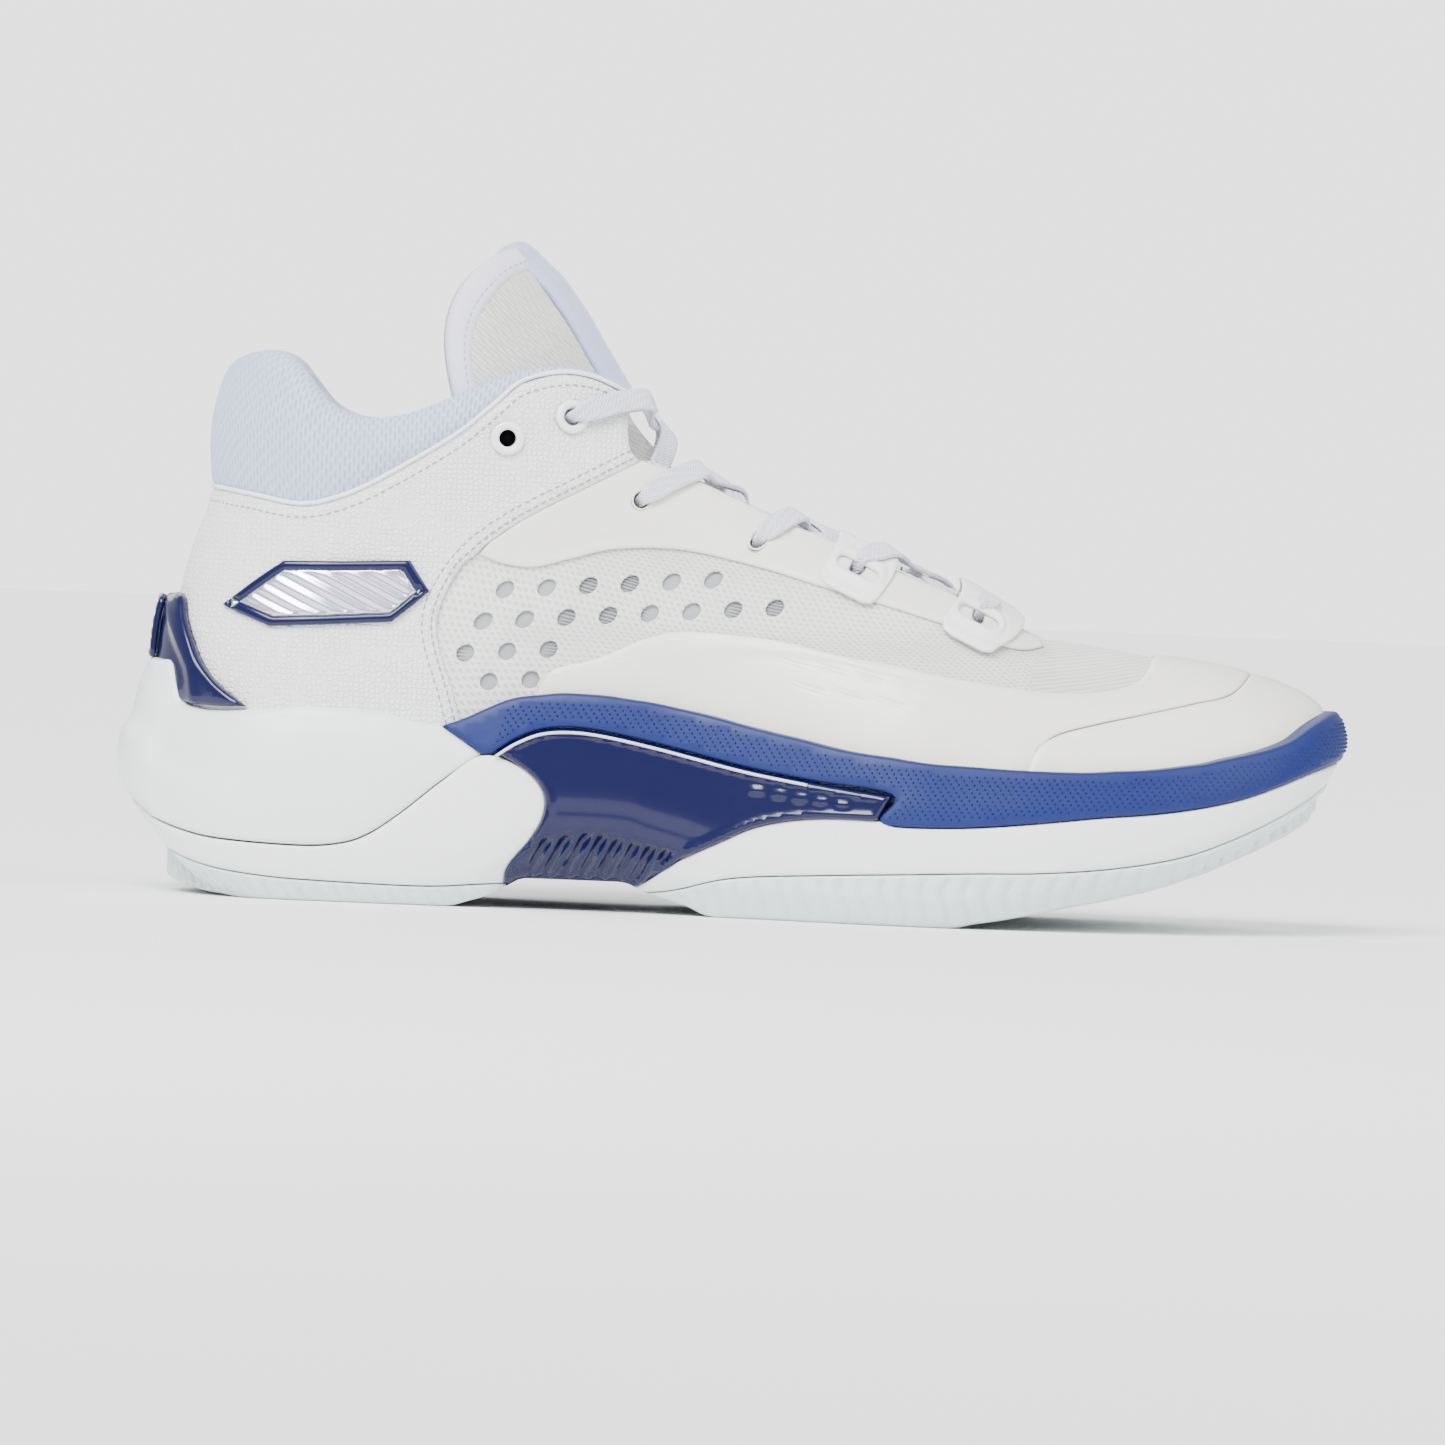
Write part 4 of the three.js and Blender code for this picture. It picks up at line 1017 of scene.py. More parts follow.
COLLAR_TOP = [
    (-134, 128), (-130, 130), (-125.5, 133), (-119, 134.3), (-113, 132.4), (-108, 127),
    (-102, 120.8),
    (-94, 117.6), (-85, 118.2), (-76, 121.6), (-65, 127.2), (-56, 131), (-46, 132.6), (-38, 131.8),
    (-32, 129.2), (-27.6, 126.4),
]
TONGUE_REAR = [
    (-66, 100), (-70, 112), (-72, 124), (-73.6, 132), (-74.2, 139), (-73, 146.4), (-69.5, 153),
    (-64.5, 158), (-58, 161.2), (-50, 163.2),
]
TONGUE_LOW = [(76, 62), (60, 62.5), (35, 70), (5, 78), (-25, 86), (-50, 92), (-66, 100)]
CUP_PARTING = [
    (-156, 23.6), (-150, 22.2), (-144, 19), (-135, 16), (-125, 14.2), (-105, 13.4), (-95, 14.2),
    (-88, 16.6), (-80, 22.2), (-70, 30.6), (-61, 37.1),
]
PLATE_TOP = [
    (-57.6, 37.9), (-53, 41), (-47, 43.6), (-40, 44.4), (-32, 43.8), (-19, 41.4), (2, 36.8),
    (18, 34.2), (38.4, 31.6),
]
PLATE_FRONT = [(38.4, 31.6), (35.2, 25.4)]
PLATE_LOW = [(35.2, 25.4), (20, 25.2), (7, 22.8), (-3, 18.2), (-12, 13.6), (-19, 8.6), (-24, 5.5)]
PLATE_REAR = [
    (-54.5, 6), (-53.6, 10.4), (-48.6, 17), (-45.8, 22), (-45.2, 27), (-47.4, 31.4), (-52, 35),
    (-57.6, 37.9),
]
RAND_LOW = [
    (35.2, 25.4), (40, 24.4), (56, 24.7), (72, 26.2), (89, 28.3), (103, 29.7), (115, 31.6),
    (125, 34), (134, 37.2), (143, 40.9), (150.5, 43.6),
]
OUTSOLE_TOP_HEEL = [
    (-156, 19), (-150, 16.4), (-145, 12.6), (-138, 9.8), (-128, 7.2), (-115, 5.7), (-101, 5),
    (-75, 4.6), (-60, 5.6), (-54.5, 6),
]
OUTSOLE_TOP_FRONT = [
    (-23, 4.6), (-14, 6), (0, 9.6), (21, 11.4), (57, 13.4), (76, 14.2), (94, 16), (110, 19),
    (122, 23.2), (134, 29), (144, 35.4), (150.5, 40.2),
]
BADGE = [(-126, 71), (-114, 66.4), (-84, 68.6), (-75, 76.4), (-80, 83.6), (-111, 82.4)]
DEBOSS = [
    (-53, 89.8), (-50, 86.9), (-46, 86.8), (-39, 88.6), (-31, 90.7), (-24, 91.5), (-16, 91.5),
    (-3, 89.8), (10, 87.3), (12, 90.2), (12, 93), (8, 96.3),
]
STOPS = [
    ((58.5, 75.6), ON_OVERLAY + OVERLAY_THICK), ((28.5, 86.2), ON_OVERLAY + OVERLAY_THICK),
    ((4, 91.2), OVERLAY[1]), ((-25, 100.1), OVERLAY[1]), ((-43, 119.5), ON_QUARTER + 0.9),
]
RING_PLACES = (("upper", (-58, 114.1)), ("lower", STOPS[4][0]))
LOOP_PLACES = (("front", STOPS[0][0]), ("rear", STOPS[1][0]))
TUCKED_END = (-55, 95)
HOLE_RADIUS = 2.1
THROAT_LEAN = math.atan2(-5, 11)


def raised(points, by):
    return [(x, z + by) for x, z in points]


def sole_line(start, end, count=16, line=sole_top):
    """Side-view points along the sole's top or bottom line."""
    return [(x, float(line(x))) for x in np.linspace(start, end, count)]


def grooves(at, pitch, share=0.3):
    """1 in narrow grooves every pitch, 0 between them, with soft walls."""
    part = np.abs((at / pitch) % 1 - 0.5) * 2
    return ease((share - part) / 0.22 + 0.5)


# ------------------------------------------------------------------ finishes
def sole_finishes(colours):
    foam = moulded("foam_white", tuple(colours.foam), 0.42, grain=0.05, subsurface=0.12)
    cup = moulded(
        "foam_cup", tuple(colours.cup), 0.36, grain=0.03, subsurface=0.12, coat=0.15,
        coat_roughness=0.3,
    )
    rand = moulded("rand_blue", tuple(colours.rand), 0.45, grain=0.04, dust=0.02, specular=0.3)
    plate = moulded(
        "plate_navy", tuple(colours.plate), 0.2, grain=0.004, dust=0.0, coat=0.45,
        coat_roughness=0.05, specular=0.25,
    )
    rubber = moulded(
        "outsole_rubber", tuple(colours.rubber), 0.3, grain=0.05, dust=0.1, subsurface=0.25,
    )
    edge_line = moulded("plate_edge", (0.78, 0.70, 0.80), 0.3, grain=0.01, dust=0.0)
    return {
        "foam": foam, "cup": cup, "rand": rand, "plate": plate, "rubber": rubber, "edge": edge_line,
    }


def quarter_finish(colour):
    """Coated leather with a fine emboss of scales, its grooves darkened as painted shade."""
    made = Finish("quarter_leather", colour, 0.46, coat=0.12, coat_roughness=0.35)
    scales = made.use("scales", Scale=780.0)
    mottle = made.use("mottle", Scale=40.0)
    # Painted shade: the grooves between the scales get a darker copy of the leather's colour.
    made.tint(ramp(made.tree, scales["Groove"], 0, 1, 0, 0.6), darker(colour, 0.74))
    made.tint(ramp(made.tree, mottle["Slow"], 0.3, 0.7, 0, 0.4), darker(colour, 0.965))
    made.rough(mottle["Slow"], 0.4, 0.58)
    made.bump(scales["Height"], 0.22)
    made.bump(mottle["Fine"], 0.02)
    return made


def collar_finish(colour):
    """Knit with fine upright slits between its ribs, staggered column by column; the slits are
    darkened as painted shade.
    """
    made = Finish("collar_knit", colour, 0.85, sheen=0.2)
    slits = made.use("slits", Spacing=1.05, Length=3.4)
    weave = made.use("weave", Pitch=0.6)
    mottle = made.use("mottle", Scale=45.0)
    # Painted shade: the slits get a darker copy of the knit's colour.
    made.tint(slits["Slit"], darker(colour, 0.72))
    made.tint(ramp(made.tree, weave["Height"], 0.5, 1, 0, 0.5), (0.76, 0.84, 0.96))
    made.tint(ramp(made.tree, mottle["Slow"], 0.35, 0.7, 0, 0.4), darker(colour, 0.9))
    made.bump(calc(made.tree, "SUBTRACT", 1.0, slits["Slit"]), 0.2)
    made.bump(weave["Height"], 0.08)
    return made


def mesh_finish(name, colour, line_colour, spacing, rows, slant, rise, dark=0.75):
    """Fine mesh with a raised ripstop grid over it, the weave's low points darkened as painted
    shade.
    """
    made = Finish(name, colour, 0.75, sheen=0.2)
    weave = made.use("weave", Pitch=0.5)
    grid = made.use("grid", Spacing=spacing, Row_spacing=rows, Slant=slant, Rise=rise)
    mottle = made.use("mottle", Scale=40.0)
    # Painted shade: the weave's low points get a darker copy of the mesh's colour.
    made.tint(ramp(made.tree, weave["Height"], 0.45, 0, 0, 0.8), darker(colour, dark))
    made.tint(ramp(made.tree, grid["Lines"], 0, 1, 0, 0.85), line_colour)
    made.tint(ramp(made.tree, mottle["Slow"], 0.3, 0.75, 0, 0.25), darker(colour, 0.94))
    made.bump(weave["Height"], 0.08)
    made.bump(grid["Lines"], 0.14)
    return made


def badge_finish():
    """Silvery foil whose tint drifts between ice blue, lilac and pale green."""
    made = Finish(
        "badge_silver", (0.62, 0.74, 0.86), 0.22, metallic=0.85, coat=0.6, coat_roughness=0.08,
    )
    mottle = made.use("mottle", Scale=55.0)
    made.tint(ramp(made.tree, mottle["Slow"], 0.35, 0.62), (0.78, 0.70, 0.90))
    made.tint(ramp(made.tree, mottle["Slow"], 0.58, 0.8), (0.66, 0.90, 0.84))
    made.bump(mottle["Fine"], 0.01)
    return made


def upper_finishes(colours):
    film = tuple(colours.film)
    tongue = tuple(colours.tongue)
    lilac = tuple(colours.strap)
    return {
        "quarter": quarter_finish(tuple(colours.quarter)),
        "collar": collar_finish(tuple(colours.collar)),
        "collar_edge": woven("collar_edge", (0.90, 0.94, 0.97), 0.5, 0.05, sheen=0.3),
        "film": moulded(
            "film_cream", film, 0.36, grain=0.02, coat=0.25, coat_roughness=0.25, subsurface=0.06,
        ),
        "cap": moulded(
            "cap_cream", film, 0.33, grain=0.02, coat=0.3, coat_roughness=0.22, subsurface=0.06,
        ),
        "tab": moulded(
            "loop_film", (0.93, 0.93, 0.93), 0.42, grain=0.015, dust=0.0, coat=0.2,
            coat_roughness=0.3,
        ),
        # The vamp's grey base, darker than its pale grid lines, is partly the mesh's own colour and
        # partly painted shade between the raised lines.
        "vamp": mesh_finish(
            "vamp_mesh", (0.66, 0.66, 0.64), (0.91, 0.91, 0.89), 1.9, 2.3, 0.55, 0.09,
        ),
        "backing": mesh_finish(
            "perforation_backing", (0.16, 0.17, 0.18), (0.45, 0.47, 0.49), 40.0, 1.3, 0.0, 0.0,
        ),
        "lining": woven("lining_textile", (0.80, 0.84, 0.90), 0.7, 0.08, dark=0.72),
        "board": woven("board_fibre", (0.62, 0.57, 0.48), 1.4, 0.05),
        "insole": woven("insole_foam", (0.72, 0.76, 0.84), 0.9, 0.1, dark=0.7),
        "tongue": mesh_finish(
            "tongue_mesh", tongue, (0.84, 0.83, 0.80), 2.2, 2.2, 0.75, 0.3, dark=0.72,
        ),
        "binding": woven("tongue_binding", (0.78, 0.78, 0.90), 0.6, 0.05, dark=0.86, sheen=0.3),
        "strap": woven("strap_satin", lilac, 0.45, 0.04, dark=0.85, sheen=0.5, roughness=0.5),
        "clip": moulded(
            "clip_navy", tuple(colours.plate), 0.2, grain=0.004, dust=0.0, coat=0.45,
            coat_roughness=0.05, specular=0.25,
        ),
        "badge": badge_finish(),
        "ring": moulded(
            "ring_plastic", (0.92, 0.93, 0.94), 0.22, grain=0.005, dust=0.0, coat=0.6,
            coat_roughness=0.1,
        ),
        # Near-black for the disc inside the upper ring: painted shade.
        "dark": moulded("painted_hole_shade", (0.004, 0.004, 0.006), 0.9, dust=0.0, specular=0.1),
        "thread": woven("thread_grey", (0.30, 0.31, 0.34), 0.35, 0.03, dark=0.8),
        "thread_white": woven("thread_pale", (0.50, 0.50, 0.60), 0.35, 0.03, dark=0.85),
    }


def lace_finish(colour):
    """A flat woven lace: chevron ribs with lilac and grey flecks."""
    made = Finish("lace_textile", colour, 0.8, sheen=0.3)
    weave = made.use("weave", Pitch=0.95)
    grid = made.use("grid", Spacing=1.4, Row_spacing=1.1, Slant=0.9, Rise=-0.6)
    made.tint(ramp(made.tree, weave["Height"], 0.5, 0, 0, 0.85), (0.36, 0.36, 0.52))
    made.tint(ramp(made.tree, grid["Rows"], 0.2, 1, 0, 0.35), (0.72, 0.72, 0.86))
    made.bump(weave["Height"], 0.16)
    made.bump(grid["Rows"], 0.08)
    return made


_finishes = {}


def finish(key):
    """The Blender material of one of the finishes, made on first use."""
    scene = bpy.context.scene
    if not _finishes:
        _finishes.update(sole_finishes(scene.high_top_colours))
        _finishes.update(upper_finishes(scene.high_top_colours))
        _finishes["lace"] = lace_finish(tuple(scene.high_top_colours.lace))
        _finishes["tip"] = moulded(
            "lace_tip", (0.88, 0.88, 0.92), 0.2, grain=0.004, dust=0.0, coat=0.6,
        )
    return _finishes[key].material


def stand_for(obj, slot, *nodes):
    """Hides the nodes a piece replaces; slot is not used."""
    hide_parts(*nodes)
    return obj


def place_on_shoe(obj, slot, *nodes):
    """Lets a piece ride on the shoe and stand for its nodes."""
    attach(obj, SHOE)
    return stand_for(obj, slot, *nodes)


# ------------------------------------------------------------------ sole pieces
def wall_piece(name, sheet, upper, lower, key, inner=-5.0, outer=0.0, **more):
    """A band of the sole's wall round the heel or toe, from side-view lines to the far middle."""
    paths = []
    for line in (upper, lower):
        paths.append(line if isinstance(line, np.ndarray) else flat_path(sheet, line))
        paths[-1][-1, 0] = 0
    return panel(name, sheet, both_sides(*paths), inner, outer, finish(key), **more)


def make_midsole():
    heel, toe = Wall(), Wall(from_toe=True)
    back = wall_piece(
        "midsole_back", heel, [*PLATE_REAR[:-1], *CUP_PARTING[:0:-1], (-150.5, 22.2)],
        [(-55, 6.2), *raised(OUTSOLE_TOP_HEEL[-2:0:-1], GAP), (-150.5, 16.9)], "foam",
        outer=-0.5, step=1.8)
    front = wall_piece(
        "midsole_front", toe, [*PLATE_LOW[::-1], *raised(RAND_LOW[1:], -GAP)],
        [(-23.4, 5.0), *raised(OUTSOLE_TOP_FRONT[1:], GAP)], "foam", outer=-0.3, step=1.8)
    core = underside("midsole_core", -145, 145, "foam", 15.0, lambda x, y: 2.4, rows=2.0, inset=2.2)
    return stand_for(join("midsole_foam", [back, front, core]), "foam_white", "midsole_foam")


def make_heel_cup():
    """The upper foam block of the heel, with a shallow swell and a crisp lower ledge."""
    sheet = Wall()
    swell = lambda flat, edge: 0.7 * ease(edge / 9) - 0.35 * bell(edge - 2.2, 0.7)
    cup = wall_piece(
        "heel_foam_cup", sheet, sole_line(-70.6, -150.5, 24), [
            *raised(CUP_PARTING[:0:-1], 0.4), (-150.5, 22.8),
        ],
        "cup", inner=-7.0, outer=-0.2, step=1.7, edge=1.4, relief=swell)
    return place_on_shoe(cup, "foam_cup", "heel_foam_cup")


def studs(name, sheet, loop, pitch, size, height, material, lean=0.0):
    """Small four-sided pyramids standing in rows inside a loop, each closed underneath."""
    low, high = loop.min(axis=0), loop.max(axis=0)
    grid = np.stack(
        np.meshgrid(np.arange(low[0], high[0], pitch), np.arange(low[1], high[1], pitch / 2)),
        axis=-1,
    )
    grid[1::2, :, 0] += pitch / 2
    grid = grid.reshape(-1, 2)
    grid[:, 0] += grid[:, 1] * lean
    grid = grid[within(grid, loop)]
    grid = grid[distance_to(grid, loop) > size]
    corners = np.array([(-size, 0), (0, -size), (size, 0), (0, size)])
    base = (grid[:, None, :] + corners).reshape(-1, 2)
    verts = np.vstack([sheet.place(base, -0.15), sheet.place(grid, height)])
    tips = len(base)
    faces = []
    for i in range(len(grid)):
        a = 4 * i
        faces.append((a + 3, a + 2, a + 1, a))
        faces += [(a + k, a + (k + 1) % 4, tips + i) for k in range(4)]
    return new_object(name, verts, faces, material, np.vstack([base, grid]), smooth_shading=False)


def make_rand():
    """The blue band round the forefoot, with a field of small diamond studs."""
    sheet = Wall(from_toe=True)
    upper = flat_path(sheet, sole_line(-70.6, 150.5, 40))
    lower = flat_path(sheet, [(-60.6, 37.4), *raised(PLATE_TOP, GAP), (35.6, 25.8), *RAND_LOW[1:]])
    upper[-1, 0] = lower[-1, 0] = 0
    loop = both_sides(upper, lower)
    band = panel("rand_band", sheet, loop, -7.0, 0.15, finish("rand"), step=2.0, edge=0.8)
    field = studs(
        "rand_studs", sheet, inset_loop(loop, 1.2), 1.9, 0.62, 0.52, finish("rand"), lean=0.3,
    )
    return stand_for(join("forefoot_rand", [band, field]), "rand_blue", "forefoot_rand")


def plate_relief(flat, edge):
    """Slanted scoops low at the back of the plate, and a row of small ovals near its front."""
    x = np.interp(flat[:, 0], _edge_length, _edge[:, 0])
    z = flat[:, 1]
    start, end = 6.8, 20.5 - 0.18 * np.abs(x + 34)
    rise = np.clip((z - start) / np.maximum(end - start, 1), 0, 1)
    room = ease((x + 50) / 3) * ease((-9 - x) / 6) * ease((z - start) / 1.5) * ease((end - z) / 2.5)
    scoops = np.sin(math.pi * (((x - 0.55 * z) / 4.3) % 1)) ** 1.3
    ovals = np.zeros(len(x))
    for k in range(5):
        centre_x = 6 + 5.2 * k
        centre_z = np.interp(centre_x, [6, 27], [31.6, 29])
        far = ((x - centre_x) / 1.9) ** 2 + ((z - centre_z) / 1.05) ** 2
        ovals += ease((1.25 - far) / 0.5)
    crest = 0.5 * bell(edge - 1.1, 0.8)
    return crest - 2.3 * scoops * room * (0.6 + 0.4 * rise) + 0.35 * ovals


def underside(name, first, last, key, thickness, pattern=None, rows=0.9, inset=0.0):
    """The part of the sole's underside between two x, closed above, with tread cut into it."""
    starts = [math.acos(max(-1.0, min(1.0, -x / HALF))) for x in (first, last)]
    count = int((last - first) / rows)
    turns = np.linspace(starts[0] + 0.004, starts[1] - 0.004, count)
    runs = []
    for side in (LATERAL, MEDIAL):
        p = sole_edge(turns, side)
        outward = turned(edge_tangent(turns, side)) * side
        move = mix(float(wall_side(0)), float(wall_back(0)), heel_share(p[:, 0])) + inset
        runs.append(p - outward * move[:, None])
    across = np.linspace(0, 1, int(SOLE_WIDTH / rows))
    share = across[None, :, None]
    plan = (runs[0][:, None] * (1 - share) + runs[1][:, None] * share).reshape(-1, 2)
    floor = sole_bottom(plan[:, 0])
    room = np.minimum(np.tile(ease(np.minimum(across, 1 - across) * 22), count), 1)
    cut_in = pattern(plan[:, 0], plan[:, 1]) * room if pattern is not None else 0
    verts = np.vstack([np.column_stack([plan, floor + rise]) for rise in (cut_in, thickness)])
    obj = new_object(
        name, verts, slab_faces(count, len(across)), finish(key), np.vstack([plan, plan]),
    )
    face_outward(obj)
    return obj


def make_plate():
    """The glossy plate at the waist: its side walls, its underside and its bright top line."""
    parts, lines = [], []
    for name, side in SIDES:
        sheet = Wall(side=side)
        floor_line = [(x, float(sole_bottom(x)) + 0.1) for x in np.linspace(-25, -53.5, 12)]
        loop = cut(sheet, [PLATE_TOP, PLATE_FRONT, PLATE_LOW, floor_line, PLATE_REAR], step=0.9)
        parts.append(panel(
            f"plate_{name}", sheet, loop, -4.0, 0.35, finish("plate"), step=0.8, edge=0.9,
            relief=plate_relief))
        path = sheet.flat(spaced(spline(raised(PLATE_TOP, -0.9)[:-1]), 1.0))
        lines.append(sheet.place(path, 0.75))
    under = underside("plate_under", -54.4, -23.6, "plate", 4.5, rows=1.5)
    plate = join("shank_plate", [*parts, under])
    edges = [
        ribbon_tube(f"plate_line_{k}", line, 0.38, finish("edge")) for k, line in enumerate(lines)
    ]
    edge = join("plate_edge_line", edges)
    return stand_for(plate, "plate_navy", "shank_plate"), edge


def ribbon_tube(name, points, radius, material, sides=8):
    """A thin round bead along points."""
    tangents = unit(np.gradient(points, axis=0))
    side = unit(np.cross(tangents, (0.0, 0.0, 1.0)))
    up = np.cross(side, tangents)
    turn = np.linspace(0, math.tau, sides, endpoint=False)[None, :, None]
    circle = np.cos(turn) * side[:, None] + np.sin(turn) * up[:, None]
    rings = points[:, None] + radius * circle
    verts, faces = tube_grid(rings)
    obj = new_object(name, verts, faces, material)
    face_outward(obj)
    return obj


def heel_tread(x, y):
    wave = x + 4.0 * np.abs(((y / 17.0) % 2) - 1)
    return 1.6 * grooves(wave, 6.2) + 0.5 * grooves(y + 3, 17.0, 0.12)


def front_tread(x, y):
    """Waves that fan round a pivot disc under the ball of the foot."""
    far = np.hypot(x - 52, y - 2)
    rings = 1.5 * grooves(far, 5.4) * (far < 23)
    waves = 1.6 * grooves(x + 3.2 * np.sin(y / 6.4), 6.0) * (far >= 24.5)
    channel = 2.0 * ((far >= 23) & (far < 24.5))
    return rings + waves + channel


def make_outsoles():
    heel_sheet, toe_sheet = Wall(), Wall(from_toe=True)
    slant = lambda flat, edge: -0.9 * grooves(
        np.abs(flat[:, 0]) + 0.75 * flat[:, 1], 4.4, 0.34,
    ) * ease(edge / 1.2)
    waves = lambda flat, edge: -0.9 * grooves(
        np.abs(flat[:, 0]) + 0.9 * np.sin(flat[:, 1] * 0.55), 5.2, 0.3,
    ) * ease(edge / 1.4)
    made = []
    for name, sheet, top, start, relief, tread, end in (
        (
            "heel_outsole", heel_sheet, [*OUTSOLE_TOP_HEEL[:0:-1], (-150.5, 16.6)], -54.6, slant,
            heel_tread, -150.5,
        ),
        ("forefoot_outsole", toe_sheet, OUTSOLE_TOP_FRONT, -23.4, waves, front_tread, 150.5),
    ):
        floor_line = flat_path(sheet, sole_line(start, end, 60, line=sole_bottom))
        floor_line[:, 1] = sole_bottom(sheet.place(floor_line, 0.0)[:, 0]) + 0.02
        side = wall_piece(
            f"{name}_wall", sheet, top, floor_line, "rubber", inner=-5.0, outer=0.25, step=1.0,
            edge=0.7, relief=relief)
        low, high = min(start, end), max(start, end)
        under = underside(f"{name}_tread", low + 0.4, high - 0.4, "rubber", 3.4, tread, inset=0.8)
        made.append(stand_for(join(name, [side, under]), "outsole_rubber", name))
    return made


# ------------------------------------------------------------------ upper pieces
def flat_holes(sheet, places, radius, count=14, offset=0.0):
    return [round_hole(sheet.flat([at], offset)[0], radius, count) for at in places]


def hole_rims(name, sheet, places, radius, offset, material):
    """A small rolled rim round each hole."""
    rims = []
    for i, at in enumerate(places):
        ring = sheet.place(round_hole(sheet.flat([at])[0], radius + 0.25, 20), offset)
        rims.append(ribbon_tube(
            f"{name}_{i}", np.vstack([ring, ring[:2]]), 0.28, material, sides=6,
        ))
    return rims


def make_quarters():
    """Two leather quarters, stitched twice along the front and once under the collar."""
    made = []
    for name, side in SIDES:
        sheet = Skin(side)
        outline_parts = [
            (-172, 30), (-172, 99.4), COLLAR_LINE, QUARTER_TOP, QUARTER_THROAT, SEAM, (-62, 30),
        ]
        holes = flat_holes(
            sheet, [at for _, at in RING_PLACES], HOLE_RADIUS + 0.7, offset=QUARTER[1],
        )
        loop = cut(sheet, outline_parts, QUARTER[1])
        swell = lambda flat, edge: 0.35 * ease(edge / 3) - 0.35
        body = panel(
            f"quarter_{name}", sheet, loop, *QUARTER, finish("quarter"), holes=holes, edge=0.7,
            relief=swell,
        )
        made.append(place_on_shoe(body, "quarter_leather", f"quarter_{name}"))
        rows = []
        for by in (1.5, 3.8):
            line = [
                (x - by * 0.86, z + by * 0.5) for x, z in SEAM[:5]
            ] + [(x - by, z) for x, z in SEAM[5:]]
            rows.append(seam_line(line, side, QUARTER[1]))
        rows.append(seam_line(
            raised(COLLAR_LINE, -3.4) + raised(QUARTER_TOP[1:-1], -3.4), side, QUARTER[1],
        ))
        thread = stitches(
            f"quarter_stitches_{name}", rows, finish("thread"), pitch=2.05, length=1.45, radius=0.2,
        )
        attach(thread, SHOE)
    return made


def perforations(sheet):
    """Rows of round holes that rise gently toward the toe, staggered row by row."""
    rows = (
        ((-57, 77.4), 7), ((-62, 69.5), 8), ((-66, 61.6), 8), ((-60, 54.9), 2), ((-29, 58.1), 1),
        ((1, 62.6), 1),
    )
    rise = math.tan(math.radians(4.9))
    step = 10.1
    places = [(x + k * step, z + k * step * rise) for (x, z), count in rows for k in range(count)]
    keep = [
        (x, z) for x, z in places
        if x > -69 and perforation_low(x) < z < perforation_top(x) - 3.2
    ]
    return flat_holes(sheet, keep, 2.15, 14)


perforation_top = smooth(EYESTAY_LOW[::-1][2:])
perforation_low = smooth([
    (-70, 48), (-52, 50), (-47, 62), (-34, 65), (-22, 70.5), (-12, 72.5), (8, 71.5), (30, 68),
])


def make_vamp():
    """Ripstop mesh with true round perforations on both sides, over a grey backing net."""
    parts = []
    for name, side in SIDES:
        sheet = Skin(side)
        loop = cut(sheet, [
            (-76, 42), (-78, 62), (-74, 80), (-66, 90), [
                (-50, 98), (-34, 106), *THROAT,
            ], (78, 69), (80, 56), (60, 52),
            (20, 54), (-30, 50), (-50, 42),
        ], step=1.4)
        holes = perforations(sheet)
        holes += flat_holes(sheet, [at for at, _ in STOPS[:4]], HOLE_RADIUS)
        parts.append(panel(
            f"vamp_{name}", sheet, loop, *MESH, finish("vamp"), holes=holes, edge=0.25, step=2.2,
        ))
        backing = panel(f"midfoot_backing_{name}", sheet, cut(sheet, [
            (-72, 44), (-72, 80), (-60, 86), (-40, 83), (-10, 85), (12, 82), (24, 66), (20, 50),
        ]), *BACKING, finish("backing"), edge=0.2, step=3.0)
        place_on_shoe(backing, "lining_textile", f"midfoot_backing_{name}")
    toe = Skin(from_toe=True)
    upper = toe.flat([(70, 60), (71, 67), (74, 69.6), (79, 90)])
    lower = toe.flat([(72, 56), (100, 52), (112, 56), (124, 60), (132, 70)])
    upper[-1, 0] = lower[-1, 0] = 0
    parts.append(panel(
        "vamp_toe", toe, both_sides(upper, lower), *MESH, finish("vamp"), edge=0.25, step=2.0,
        rows=1.0,
    ))
    return stand_for(join("vamp_mesh", parts), "vamp_mesh", "vamp_mesh")


def make_film():
    """Smooth film over the forefoot with small dimples along its upper side."""
    sheet = Skin(from_toe=True)
    upper = flat_path(sheet, FILM_TOP, OVERLAY[1])
    lower = np.vstack([
        sheet.flat([(-48, 30), (70, 36)], OVERLAY[1]),
        flat_path(sheet, raised(CAP_TOP, GAP)[1:], OVERLAY[1]),
    ])
    upper[-1, 0] = lower[-1, 0] = 0
    loop = both_sides(upper, lower)
    dimples = [
        (14, 62.7), (23, 61.1), (33, 59.7), (42, 58.2), (51, 57.1), (18, 56.5), (28, 55.1),
        (38, 53.6), (47, 52.5),
    ]

    def relief(flat, edge):
        seen = sheet.place(flat, OVERLAY[1])[:, [0, 2]]
        far = np.linalg.norm(seen[:, None] - np.array(dimples), axis=2).min(axis=1)
        welt = 0.25 * ease((2.2 - np.abs(edge - 3.0)) / 1.2) * (edge < 6)
        return -0.45 * ease((1.5 - far) / 0.9) + welt

    film = panel(
        "forefoot_film", sheet, loop, *OVERLAY, finish("film"), edge=0.5, step=1.15, rows=0.95,
        relief=relief,
    )
    return place_on_shoe(film, "film_cream", "forefoot_film")


def make_toe_cap():
    sheet = Skin(from_toe=True)
    upper = flat_path(sheet, CAP_TOP, OVERLAY[1])
    upper[-1, 0] = 0
    upper = np.vstack([sheet.flat([(70, 32)], OVERLAY[1]), upper])
    low = np.array([[upper[0, 0], 22.0], [0.0, 22.0]])
    step_up = lambda flat, edge: 0.18 * ease(edge / 1.6)
    cap = panel(
        "toe_cap", sheet, both_sides(upper, low), *OVERLAY, finish("cap"), edge=0.5, step=2.0,
        rows=1.2, relief=step_up,
    )
    return place_on_shoe(cap, "cap_cream", "toe_cap")


